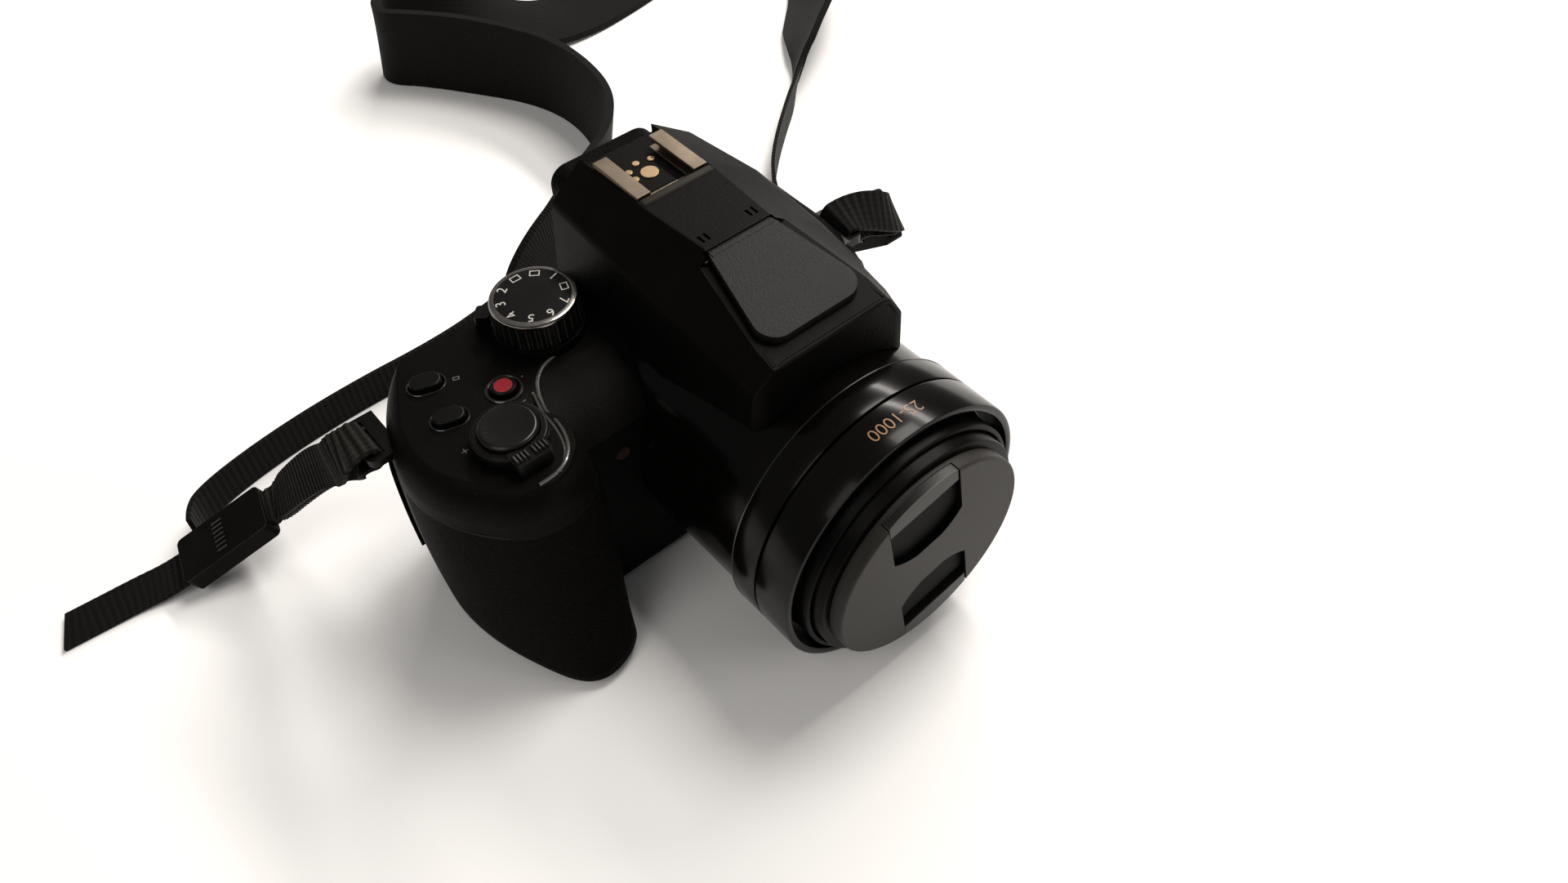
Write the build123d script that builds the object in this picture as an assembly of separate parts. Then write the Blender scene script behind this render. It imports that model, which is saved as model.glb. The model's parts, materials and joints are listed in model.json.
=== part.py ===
from build123d import *
import os
from math import radians

# A bridge camera with a fixed zoom lens, standing on its base plate.
# The lens looks along -Y, +Z is up and the hand grip is at -X.
# All sizes are in millimetres.

# Covers
BODY_RIGHT = 65.1
BODY_FRONT = 3.5
BODY_REAR = 51.0
GRIP_SIDE = -65.1
GRIP_NOSE = -43.5
GRIP_FOOT = -18.4
GRIP_INNER = -32.0
BASE_BEVEL = 2.2
BASE_RISE = 3.0
WAIST_Z = 28.0
COVER_TOP = 56.0
SHOULDER_Z = COVER_TOP + 5.0
PLATE_TOP = COVER_TOP + 8.5
CORNER_R = 9.0
SEAM_Y = 27.0
WALL = 2.2
BAY_FLOOR = 4.5
RUBBER_DEPTH = 1.5
THUMB_RISE = 1.1
CLEAR = 0.3
FIT = 0.1

# Lens tube
LENS_X = 20.0
BASE_TUBE_R = 35.4
TUBE_LIFT = 2.0
LENS_Z = BASE_TUBE_R + TUBE_LIFT

# Hump over the lens
HUMP_RISE = 20.8
HUMP_TOP = LENS_Z + BASE_TUBE_R + HUMP_RISE
HUMP_REAR = 52.0
MIC_Y = 5.5
PANEL_Y = -20.0
PANEL_DROP = 5.1
NOSE_Y = -26.8
NOSE_DROP = 7.0
NOSE_CORNER = 7.5
HUMP_FOOT = SHOULDER_Z
SHOULDER_ROUND = 4.0
CREASE_ROUND = 0.8

# Lens
TUBE_WALL = 2.4
TUBE_FRONT = -46.5
TUBE_REAR = 26.0
RING_R = BASE_TUBE_R + 1.4
RING_REAR = -33.0
RING_SPLIT = -41.5
RING_FRONT = -52.5
RING_GROOVE = 0.5
LIP_WALL = 2.0
BARREL_GAP = 0.5
BARREL_WALL = 1.3
OUTER_BARREL_R = BASE_TUBE_R - TUBE_WALL - BARREL_GAP
INNER_BARREL_R = OUTER_BARREL_R - BARREL_WALL - BARREL_GAP
OUTER_BARREL_FRONT = -54.6
OUTER_BARREL_LENGTH = 44.0
INNER_BARREL_FRONT = -57.6
INNER_BARREL_LENGTH = 42.0
THREAD_R = INNER_BARREL_R - 3.2
THREAD_DEPTH = 3.2
FRONT_LENS_R = THREAD_R - 2.5
FRONT_LENS_RIM = 3.0
FRONT_LENS_DOME = 3.4
REAR_GROUP_R = 17.0
REAR_GROUP_LENGTH = 14.0
SENSOR_SIZE = 24.0
SENSOR_DEPTH = 4.0

# Lens cap
CAP_R = THREAD_R + 1.1
CAP_FACE = -61.5
CAP_TILT = 10.0
CAP_PLUG = 1.6
CAP_FLOOR = 1.2
LATCH_HALF = 10.4
LATCH_DEPTH = 6.0
PINCH_TRAVEL = 2.2
RECESS_INNER = 6.6

# Flash
HINGE_Y = 3.6
HINGE_Z = HUMP_TOP - 2.4
KNUCKLE_R = 2.2
KNUCKLE_HALF = 9.0
KNUCKLE_ROOM = 1.0
LID_EDGE = 2.0
LID_FRONT = -22.6
LID_CORNER = 5.0
LID_REAR_HALF = 9.3
LID_FRONT_HALF = 15.2
FLASH_SWING_R = 20.4
FLASH_FLOOR = HUMP_TOP - 14.1
FLASH_HALF = 11.6
FLASH_PIN_R = 0.6
PIN_SEAT = 0.8
PIN_RUNNING = 0.05
WINDOW_THICK = 1.5
FLASH_TUBE_R = 1.4

# Accessory shoe, to the usual shoe standard
SHOE_Y = 37.9
SHOE_LENGTH = 18.0
SHOE_SLOT = 18.6
SHOE_MOUTH = 12.5
SHOE_SHEET = 1.0
SHOE_HEIGHT = 2.1
SHOE_PLATE = 0.6
SHOE_TOP = HUMP_TOP + 0.7
CONTACT_R = 2.3
SMALL_CONTACT_R = 0.95
CONTACT_RISE = 0.3

# Top controls
DIAL_X, DIAL_Y = -17.3, 37.5
DIAL_R = 10.6
DIAL_BASE = PLATE_TOP + 2.8
DIAL_HEIGHT = 7.9
DIAL_TOP = DIAL_BASE + DIAL_HEIGHT
DIAL_ROUND = 0.7
DIAL_FLUTES = 30
FLUTE_DEPTH = 0.35
FLUTE_HALF = 0.45
FLUTE_TOP = 1.6
SPINDLE_R = 4.0
LEVER_R = DIAL_R + 0.6
LEVER_REACH = LEVER_R + 4.0
LEVER_HALF = 2.2
LEVER_ANGLE = 137.0
SHUTTER_X, SHUTTER_Y = -42.1, 11.3
SHUTTER_R = 6.9
SHUTTER_TOP = PLATE_TOP + 5.5
SHUTTER_FLANGE = PLATE_TOP + 2.6
SHUTTER_DISH = 0.5
SHUTTER_RIM = 0.7
SHUTTER_STEM = 1.5
ZOOM_RING_R = SHUTTER_R + 1.9
ZOOM_RING_TOP = PLATE_TOP + 3.9
ZOOM_TAB_REACH = ZOOM_RING_R + 2.6
ZOOM_TAB_HALF = 4.6
ZOOM_RIB_PITCH = 0.95
MOVIE_X, MOVIE_Y = -35.0, 25.9
MOVIE_R = 3.1
MOVIE_TOP = PLATE_TOP + 1.5
BURST_X, BURST_Y = -47.9, 39.5
FOCUS_X, FOCUS_Y = -49.2, 26.5
OVAL_LENGTH = 7.6
OVAL_WIDTH = 5.0
OVAL_TOP = PLATE_TOP + 1.7
OVAL_TURN = -20.0
REAR_DIAL_X, REAR_DIAL_Y = -39.0, 45.0
REAR_DIAL_R = 7.6
REAR_DIAL_LOW, REAR_DIAL_HIGH = COVER_TOP + 1.4, COVER_TOP + 5.4
REAR_DIAL_FLUTES = 24

# Rear face
SCREEN_X, SCREEN_Z = 14.5, 29.5
SCREEN_WIDTH, SCREEN_HEIGHT = 69.0, 50.0
SCREEN_GLASS = 1.2
PANEL_THICK = 3.4
PANEL_MARGIN = 2.0
PAD_X, PAD_Z = -36.0, 24.0
PAD_R = 9.2
SET_R = 3.7
BUTTON_R = 2.8
BUTTON_RISE = 0.9
PLAYBACK_X, PLAYBACK_Z = -29.5, 41.5
LOCK_X, LOCK_Z = -39.5, 47.5
DISPLAY_X, DISPLAY_Z = -28.5, 7.5
RETURN_X, RETURN_Z = -42.5, 7.5
VIEW_X, VIEW_Z = 42.5, HUMP_TOP - 25.1
EYECUP_Z = HUMP_TOP - 17.6
EYECUP_WIDTH, EYECUP_HEIGHT = 31.0, 22.0
EYECUP_REAR = 61.5
EYECUP_WINDOW_W, EYECUP_WINDOW_H = 18.0, 13.0
TUNNEL_HALF, TUNNEL_HIGH, TUNNEL_DEPTH = 11.0, 8.0, 12.0
DIOPTER_X, DIOPTER_Z = 41.5, HUMP_TOP - 15.1
DIOPTER_R = 4.0
DIOPTER_REAR = 54.6
DIOPTER_FLUTES = 16

# Battery, card, tripod bush and connector bay
BATTERY_X, BATTERY_Y = -47.0, 24.0
BATTERY_W, BATTERY_D, BATTERY_H = 17.5, 35.0, 43.0
CARD_X, CARD_Y = -35.4, 22.0
CARD_T, CARD_W, CARD_H = 2.1, 24.0, 32.0
CARD_PUSH = 1.0
DOOR_THICK = 2.4
DOOR_HINGE_X = -31.0
DOOR_BARREL_R = 1.2
DOOR_LEFT = -59.0
DOOR_REAR = 43.5
DOOR_FRONT = 3.5
LATCH_W, LATCH_L, LATCH_T = 5.0, 10.0, 1.3
LATCH_EDGE, LATCH_RISE = 3.0, 0.2
LATCH_SLIDE = 2.0
TRIPOD_X, TRIPOD_Y = 12.0, 40.0
TRIPOD_R = 3.175
TRIPOD_DEPTH = 5.5
BUSH_R = 6.5
BUSH_FLANGE = 4.6
BAY_Y, BAY_Z = 38.0, 32.0
BAY_LENGTH, BAY_HEIGHT, BAY_DEPTH = 12.0, 30.0, 6.0
PORT_DOOR_THICK = 1.4
RIM = 1.6

# Focus lamp and base screws
AF_X, AF_Z = LENS_X - BASE_TUBE_R - 3.5, LENS_Z + 10.0
AF_R = 2.2
AF_SINK = 0.9
AF_DEPTH = 1.3
SCREW_R = 1.5
SCREWS = [(-14.0, 44.0), (44.0, 44.0), (52.0, 12.0), (-18.0, 12.0)]

# Strap lugs
LUG_SLOT = 12.0
LUG_GAP = 2.8
LUG_WIRE = 1.6
LUG_THICK = 2.2
RIGHT_LUG_Y, LEFT_LUG_Y = 38.0, 21.5
LUG_Z = 59.0
LUG_SINK = 2.2
LUG_INSET = 2.4

# Neck strap
WEB_WIDTH = 11.0
WEB_THICK = 1.3
PLY_GAP = 0.2
PAD_WIDTH = 33.0
PAD_THICK = 2.6
PAD_TAPER = 0.07
SLIDER_LENGTH, SLIDER_WIDTH, SLIDER_THICK = 27.0, 15.2, 5.4

# Strap sliders: the middle, the way their length runs and the way their width points
RIGHT_SLIDER = ((-101.0, 80.0, 10.0), (-0.90, 0.22, -0.38), (0.22, 0.97, 0.0))
LEFT_SLIDER = ((86.2, 32.8, 42.6), (0.05, 0.75, -0.65), (0.0, 0.65, 0.75))

# Strap routes: places that a middle line is drawn towards, each with the way its width points.
# A loop's places also give how far its two plies lie from that line.
LUG_SLOT_X = 65.7
LOOP_RIGHT = [
    ((-LUG_SLOT_X, 38.0, 59.0), (0, 1, 0), 3.3),
    ((-70.8, 38.4, 58.2), (0, 1, 0), 3.0),
    ((-72.0, 42.5, 53.0), (0.35, 0.93, 0), 2.6),
    ((-72.0, 50.5, 46.0), (0.6, 0.8, 0), 1.8),
    ((-75.6, 59.5, 37.5), (0.6, 0.8, 0), 1.4),
    ((-81.4, 68.0, 27.0), (0.45, 0.89, 0), 1.1),
]
LOOP_LEFT = [
    ((LUG_SLOT_X, 21.5, 59.0), (0, 1, 0), 3.2),
    ((70.6, 21.4, 59.4), (0, 0.9, 0.3), 3.2),
    ((76.0, 20.2, 59.2), (0, 0.75, 0.65), 2.8),
    ((81.0, 18.4, 57.2), (0.1, 0.65, 0.75), 1.9),
]
TAIL_RIGHT = [
    ((-118.5, 84.6, 2.4), (0.2, 0.98, 0.0)),
    ((-126.0, 86.6, 1.2), (0.1, 0.99, 0)),
    ((-136.0, 87.6, 0.75), (0.06, 1, 0)),
    ((-147.5, 88.4, 0.75), (0.06, 1, 0)),
]
RUN_RIGHT = [
    ((-106.9, 90.2, 6.9), (0, 0, 1)),
    ((-105.0, 96.5, 6.3), (0, 0, 1)),
    ((-98.0, 101.0, 5.8), (0, 0, 1)),
    ((-84.0, 104.5, 5.7), (0, 0, 1)),
    ((-66.0, 107.0, 5.7), (0, 0, 1)),
    ((-46.0, 108.0, 5.7), (0, 0, 1)),
    ((-26.0, 107.6, 5.7), (0, 0, 1)),
    ((-8.0, 108.6, 6.1), (0, 0, 1)),
    ((6.0, 111.0, 7.1), (0, 0, 1)),
]
PAD = [
    ((6.2, 111.03, 7.11), (0, 0, 1)),
    ((9.6, 111.61, 7.35), (0, 0, 1)),
    ((20.0, 113.5, 16.2), (0, -0.1, 1)),
    ((36.0, 117.5, 17.0), (0, 0, 1)),
    ((52.0, 125.0, 16.8), (0, 0.1, 1)),
    ((66.0, 138.0, 16.8), (0.1, -0.15, 1)),
    ((77.0, 155.0, 16.8), (0.1, -0.25, 0.97)),
    ((82.0, 174.0, 16.8), (0.05, -0.1, 1)),
    ((82.0, 194.0, 16.6), (0, 0, 1)),
    ((75.5, 212.0, 16.6), (-0.05, 0, 1)),
    ((65.0, 230.0, 16.6), (0, 0, 1)),
    ((53.0, 246.0, 16.8), (0, -0.1, 1)),
    ((43.0, 257.0, 16.8), (0.05, -0.2, 0.97)),
    ((47.0, 268.0, 17.0), (0.05, -0.2, 0.97)),
    ((60.0, 268.0, 17.0), (-0.1, 0.3, 0.9)),
    ((78.0, 259.0, 14.4), (-0.25, 0.55, 0.6)),
    ((98.0, 251.0, 6.4), (-0.1, 0.95, 0.2)),
    ((120.0, 248.5, 2.0), (-0.1, 1, 0)),
    ((142.0, 252.0, 1.5), (-0.2, 0.97, 0)),
    ((164.0, 257.0, 3.0), (0.1, 0.95, 0.12)),
    ((186.0, 257.5, 7.0), (0.4, 0.85, 0.35)),
    ((207.0, 247.0, 12.4), (0.55, 0.5, 0.6)),
    ((221.0, 229.0, 14.0), (0.6, 0.15, 0.75)),
    ((222.0, 207.0, 14.2), (0.6, -0.25, 0.75)),
    ((208.0, 188.0, 13.7), (0.45, -0.5, 0.74)),
    ((190.0, 171.5, 14.0), (0.45, -0.5, 0.74)),
    ((173.0, 156.5, 13.4), (0.4, -0.45, 0.8)),
    ((163.2, 148.19, 8.06), (0.2, -0.2, 0.95)),
    ((160.2, 145.67, 7.64), (0.2, -0.2, 0.95)),
]
RUN_LEFT = [
    ((160.0, 145.5, 7.6), (0.2, -0.2, 0.95)),
    ((150.0, 137.1, 6.2), (0, 0, 1)),
    ((138.0, 128.0, 5.8), (0, 0, 1)),
    ((124.0, 116.5, 5.7), (0, 0, 1)),
    ((112.0, 105.0, 5.7), (0, 0, 1)),
    ((103.5, 93.0, 6.2), (0, 0, 1)),
    ((97.5, 80.0, 8.6), (0, 0.2, 1)),
    ((92.0, 67.0, 13.6), (0, 0.5, 0.85)),
    ((88.4, 54.0, 24.2), (0, 0.6, 0.8)),
]


def block(x0, x1, y0, y1, z0, z1):
    """A box given by its corners."""
    size = (x1 - x0, y1 - y0, z1 - z0)
    return Pos((x0 + x1) / 2, (y0 + y1) / 2, (z0 + z1) / 2) * Box(*size)


def post(x, y, radius, z0, z1):
    """An upright cylinder."""
    return Pos(x, y, (z0 + z1) / 2) * Cylinder(radius, z1 - z0)


def barrel(radius, y0, y1, x=LENS_X, z=LENS_Z):
    """A cylinder along Y."""
    return Pos(x, (y0 + y1) / 2, z) * Rot(90, 0, 0) * Cylinder(radius, y1 - y0)


def tube(outer, inner, y0, y1):
    """A pipe on the lens axis."""
    return barrel(outer, y0, y1) - barrel(inner, y0 - 1, y1 + 1)


def rod(radius, x0, x1, y, z):
    """A cylinder along X."""
    return Pos((x0 + x1) / 2, y, z) * Rot(0, 90, 0) * Cylinder(radius, x1 - x0)


def plane_y(y):
    """The upright plane at y, with X across and Z up."""
    return Plane(origin=(0, y, 0), x_dir=(1, 0, 0), z_dir=(0, -1, 0))


def save(node, shape):
    """Writes one sub-part."""
    export_step(shape, f"parts/{node}.step")
    return shape


# The body outline in plan, from the rear wall round the grip to the front wall.
# Each point moves along its outward direction when the outline is drawn smaller.
OUTWARD = [(0, 1), (-0.7, 0.7), (-1, 0.1), (-1, -0.15), (-0.8, -0.6), (0, -1), (0.85, -0.5), (0, -1)]


def outline(foot_x, waist, nose, inner, corner_x, front):
    """The eight outline points of one level."""
    left = GRIP_SIDE + foot_x
    return [
        (-46, BODY_REAR),
        (left + 6.5, BODY_REAR - 6.5),
        (left + 0.8, BODY_REAR - 19),
        (left + 0.4, 14.5),
        (left + 7.2, waist),
        (GRIP_NOSE + inner, nose),
        (GRIP_INNER + inner, (nose + front) / 2),
        (corner_x, front),
    ]


BASE_LEVEL = (BASE_RISE, BODY_FRONT, BODY_RIGHT - 1, outline(1.2, -7.5, GRIP_FOOT, -2.4, -22, BODY_FRONT))
WAIST_LEVEL = (WAIST_Z, BODY_FRONT, BODY_RIGHT, outline(0, -1.5, -11.5, 0.4, -20, BODY_FRONT))
SEAM_LEVEL = (COVER_TOP, BODY_FRONT + 1, BODY_RIGHT - 0.5, outline(0.8, 1.8, -7.2, 1.6, -17, BODY_FRONT + 1))
RISE_LEVEL = (SHOULDER_Z, BODY_FRONT + 9, BODY_RIGHT - 1.5, outline(2.2, 2.4, -6.4, 1.8, -16, BODY_FRONT + 9))
PLATE_LEVEL = (PLATE_TOP, SEAM_Y - 2, BODY_RIGHT - 4.5, outline(6.0, 3.2, -4.7, 2.0, -15, SEAM_Y - 2))


def plan_face(level, inset=0.0, z=None):
    """The closed outline of one level, drawn smaller by inset."""
    level_z, front, right, curve = level
    points = [(x - inset * nx, y - inset * ny) for (x, y), (nx, ny) in zip(curve, OUTWARD)]
    front, rear, right = front + inset, BODY_REAR - inset, right - inset
    with BuildSketch(Plane.XY.offset(level_z if z is None else z)) as sketch:
        with BuildLine():
            Spline(*points, tangents=[(-1, 0), (1, 0)])
            Line(points[-1], (right - CORNER_R, front))
            JernArc((right - CORNER_R, front), (1, 0), CORNER_R, 90)
            Line((right, front + CORNER_R), (right, rear - CORNER_R))
            JernArc((right, rear - CORNER_R), (0, 1), CORNER_R, 90)
            Line((right - CORNER_R, rear), points[0])
        make_face()
    return sketch.sketch


def lower_body(inset=0.0):
    """The body below the top cover, with its bevelled base."""
    walls = loft([plan_face(level, inset) for level in (BASE_LEVEL, WAIST_LEVEL, SEAM_LEVEL)])
    if inset:
        return walls
    base = loft([plan_face(BASE_LEVEL, BASE_BEVEL, 0.0), plan_face(BASE_LEVEL)], ruled=True)
    return walls + base


def upper_body():
    """The rounded shoulder and flat plate of the top cover."""
    return loft([plan_face(level) for level in (SEAM_LEVEL, RISE_LEVEL, PLATE_LEVEL)])


def hump_section(y, crease, crease_z, left, right, side_z, left_foot, right_foot):
    """One upright section of the hump."""
    points = [
        (LENS_X - left_foot, HUMP_FOOT),
        (LENS_X - left, side_z),
        (LENS_X - crease, crease_z),
        (LENS_X + crease, crease_z),
        (LENS_X + right, side_z),
        (LENS_X + right_foot, HUMP_FOOT),
    ]
    rounds = [SHOULDER_ROUND, CREASE_ROUND, CREASE_ROUND, SHOULDER_ROUND]
    with BuildSketch(plane_y(y)) as sketch:
        with BuildLine():
            FilletPolyline(*points, radius=rounds)
            Line(points[-1], points[0])
        make_face()
    return sketch.sketch


def hump():
    """The viewfinder and flash hump, from its rear face to its nose."""
    panel_z = HUMP_TOP - PANEL_DROP
    sections = [
        hump_section(HUMP_REAR, 10.6, HUMP_TOP - 0.6, 20.5, 22.4, HUMP_TOP - 8.8, 23, 37.5),
        hump_section(SHOE_Y - SHOE_LENGTH / 2, 10.9, HUMP_TOP, 21.5, 25, HUMP_TOP - 9, 24.5, 42),
        hump_section(MIC_Y, LID_REAR_HALF, HUMP_TOP, 21.5, 25.4, HUMP_TOP - 11.6, 25, 40),
        hump_section(PANEL_Y, 14.8, panel_z, 20.8, 23, HUMP_TOP - 14.6, 21.5, 26),
        hump_section(NOSE_Y, 15.6, HUMP_TOP - NOSE_DROP, 20.4, 21.6, HUMP_TOP - 16.1, 20.8, 22.2),
    ]
    return loft(sections, ruled=True) & nose_prism()


def nose_prism():
    """The hump's plan, with rounded corners at the nose."""
    with BuildSketch(Plane.XY.offset(HUMP_FOOT - 5)) as sketch:
        with BuildLine():
            Polyline(
                (LENS_X - 31, BODY_REAR + 10),
                (LENS_X - 21.8, NOSE_Y),
                (LENS_X + 23.0, NOSE_Y),
                (LENS_X + 28.5, PANEL_Y),
                (LENS_X + 50, MIC_Y),
                (LENS_X + 50, BODY_REAR + 10),
                close=True,
            )
        make_face()
        fillet(sketch.vertices().sort_by(Axis.Y)[:2], NOSE_CORNER)
    return extrude(sketch.sketch, amount=HUMP_TOP - HUMP_FOOT + 10)


def panel_slab(depth, rear):
    """The space above the flash panel's slope, down to a depth below it."""
    slope = PANEL_DROP / (MIC_Y - PANEL_Y)
    far = NOSE_Y - 5
    with BuildSketch(Plane.YZ) as sketch:
        with BuildLine():
            Polyline(
                (rear, HUMP_TOP - (MIC_Y - rear) * slope - depth),
                (far, HUMP_TOP - (MIC_Y - far) * slope - depth),
                (far, HUMP_TOP + 5),
                (rear, HUMP_TOP + 5),
                close=True,
            )
        make_face()
    return extrude(sketch.sketch, amount=80, both=True)


def lid_prism(grow=0.0):
    """The flash panel's outline in plan, drawn through the hump."""
    front, rear = LID_FRONT - grow, HINGE_Y
    with BuildSketch(Plane.XY.offset(FLASH_FLOOR - grow)) as sketch:
        with BuildLine():
            Polyline(
                (LENS_X - LID_REAR_HALF - grow, rear),
                (LENS_X - LID_FRONT_HALF - grow, front),
                (LENS_X + LID_FRONT_HALF + grow, front),
                (LENS_X + LID_REAR_HALF + grow, rear),
                close=True,
            )
        make_face()
        fillet(sketch.vertices().sort_by(Axis.Y)[:2], LID_CORNER)
    return extrude(sketch.sketch, amount=HUMP_TOP - FLASH_FLOOR + 5)


def flash_pocket():
    """The well that the flash head sinks into."""
    reach = KNUCKLE_HALF + KNUCKLE_ROOM
    half = FLASH_HALF + CLEAR
    well = block(LENS_X - half, LENS_X + half, -60, HINGE_Y, FLASH_FLOOR - CLEAR, HUMP_TOP + 5)
    swing = rod(FLASH_SWING_R + CLEAR, LENS_X - 40, LENS_X + 40, HINGE_Y, HINGE_Z)
    knuckle = rod(KNUCKLE_R + CLEAR, LENS_X - reach, LENS_X + reach, HINGE_Y, HINGE_Z)
    narrow = block(LENS_X - reach, LENS_X + reach, HINGE_Y - 6, HINGE_Y + 1, HINGE_Z - 3, HUMP_TOP + 5)
    return (well & swing & lid_prism(CLEAR)) + knuckle + narrow


def oval(x, y, grow, z0, z1):
    """An upright oval button or its hole."""
    shape = SlotOverall(OVAL_LENGTH + 2 * grow, OVAL_WIDTH + 2 * grow, rotation=OVAL_TURN)
    return Pos(x, y, z0) * extrude(shape, amount=z1 - z0)


def rear_button(x, z, radius, low=BODY_REAR - 3, high=BODY_REAR + BUTTON_RISE):
    """A round button in the rear wall, with a softened edge."""
    button = barrel(radius, low, high, x, z)
    return fillet(button.edges().filter_by(GeomType.CIRCLE).sort_by(Axis.Y)[-1], 0.4)


REAR_BUTTONS = {
    "playback_button": (PLAYBACK_X, PLAYBACK_Z),
    "lock_button": (LOCK_X, LOCK_Z),
    "display_button": (DISPLAY_X, DISPLAY_Z),
    "return_button": (RETURN_X, RETURN_Z),
}


def battery_box(grow=0.0, down=0.0):
    """The battery, or the bay that it slides in."""
    low = DOOR_THICK + 0.4 - down
    return block(
        BATTERY_X - BATTERY_W / 2 - grow,
        BATTERY_X + BATTERY_W / 2 + grow,
        BATTERY_Y - BATTERY_D / 2 - grow,
        BATTERY_Y + BATTERY_D / 2 + grow,
        low,
        DOOR_THICK + 0.4 + BATTERY_H + grow,
    )


def card_box(grow=0.0, down=0.0, up=0.0):
    """The memory card, or its slot."""
    low = DOOR_THICK + 2.0
    return block(
        CARD_X - CARD_T / 2 - grow,
        CARD_X + CARD_T / 2 + grow,
        CARD_Y - CARD_W / 2 - grow,
        CARD_Y + CARD_W / 2 + grow,
        low - down,
        low + CARD_H + grow + up,
    )


def door_region(grow=0.0, z0=-1.0, z1=DOOR_THICK):
    """The battery door's outline through the base."""
    return block(DOOR_LEFT - grow, DOOR_HINGE_X + grow, DOOR_FRONT - grow, DOOR_REAR + grow, z0, z1)


def main_bay():
    """The room inside the covers behind the lens."""
    front = BODY_FRONT + WALL
    return block(
        CARD_X + CARD_T / 2 + 6, BODY_RIGHT - WALL - BAY_DEPTH - 2,
        front, BODY_REAR - WALL - 3, BAY_FLOOR, COVER_TOP,
    )


def connector_bay(grow=0.0):
    """The recess behind the connector door, in the side wall."""
    return block(
        BODY_RIGHT - BAY_DEPTH,
        BODY_RIGHT + 2,
        BAY_Y - BAY_LENGTH / 2 - grow,
        BAY_Y + BAY_LENGTH / 2 + grow,
        BAY_Z - BAY_HEIGHT / 2 - grow,
        BAY_Z + BAY_HEIGHT / 2 + grow,
    )


def tripod_hole(radius, top):
    """The bush's place in the base."""
    return post(TRIPOD_X, TRIPOD_Y, radius, -1, top)


def rubber_region():
    """The part of the grip that the rubber covers."""
    return block(GRIP_SIDE - 5, GRIP_INNER + 5.5, GRIP_FOOT - 5, SEAM_Y - 1.5, BASE_RISE + 1.5, COVER_TOP - 4)


def thumb_region():
    """The part of the rear corner that the thumb rest covers."""
    return block(GRIP_SIDE - 5, -47.5, SEAM_Y + 6, BODY_REAR + 5, 22, COVER_TOP - 4)


def lower_covers():
    """The front cover, rear cover, grip rubber and thumb rubber."""
    whole = lower_body()
    inner = lower_body(RUBBER_DEPTH)
    outer = lower_body(-THUMB_RISE)
    rubber = (whole - inner) & rubber_region()
    thumb = (outer - inner) & thumb_region()
    hollow = main_bay() + barrel(BASE_TUBE_R + FIT, -30, TUBE_REAR + 2) + battery_box(CLEAR, 9)
    hollow = hollow + card_box(CLEAR, 9, CARD_PUSH) + door_region(CLEAR) + door_region(-1.5, -1, DOOR_THICK + 0.5)
    hollow = hollow + tripod_hole(BUSH_R, BUSH_FLANGE) + screw_holes()
    shell = whole - hollow
    front = shell & block(-90, 90, -60, SEAM_Y, -5, COVER_TOP + 5)
    front = front - rubber_region() + (inner & rubber_region() & block(-90, 90, -60, SEAM_Y, 0, COVER_TOP)) - hollow
    front = front - barrel(AF_R, -5, BODY_FRONT + AF_SINK + AF_DEPTH, AF_X, AF_Z)
    rear = shell & block(-90, 90, SEAM_Y, 60, -5, COVER_TOP + 5)
    rear = rear - thumb_region() + (inner & thumb_region()) - hollow
    rear = rear - rear_cuts()
    return front, rear, rubber, thumb


def rear_cuts():
    """The openings in the rear cover."""
    half_w, half_h = SCREEN_WIDTH / 2, SCREEN_HEIGHT / 2
    glass = block(
        SCREEN_X - half_w, SCREEN_X + half_w, BODY_REAR - SCREEN_GLASS, BODY_REAR + 1,
        SCREEN_Z - half_h, SCREEN_Z + half_h,
    )
    well = block(
        SCREEN_X - half_w + PANEL_MARGIN, SCREEN_X + half_w - PANEL_MARGIN,
        BODY_REAR - SCREEN_GLASS - PANEL_THICK, BODY_REAR,
        SCREEN_Z - half_h + PANEL_MARGIN, SCREEN_Z + half_h - PANEL_MARGIN,
    )
    cuts = glass + well + connector_bay() + connector_rim()
    for x, z in REAR_BUTTONS.values():
        cuts = cuts + barrel(BUTTON_R + CLEAR, BODY_REAR - 3.6, BODY_REAR + 3, x, z)
    return cuts + barrel(PAD_R + CLEAR, BODY_REAR - 3.6, BODY_REAR + 3, PAD_X, PAD_Z)


def connector_rim():
    """The shallow step that the connector door closes into."""
    return block(
        BODY_RIGHT - PORT_DOOR_THICK - 0.2, BODY_RIGHT + 2,
        BAY_Y - BAY_LENGTH / 2 - RIM, BAY_Y + BAY_LENGTH / 2 + RIM,
        BAY_Z - BAY_HEIGHT / 2 - RIM, BAY_Z + BAY_HEIGHT / 2 + RIM,
    )


def screw_holes():
    """Places for the base screws."""
    holes = [post(x, y, SCREW_R, -1, 1.4) for x, y in SCREWS]
    return holes[0] + holes[1] + holes[2] + holes[3]


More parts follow.
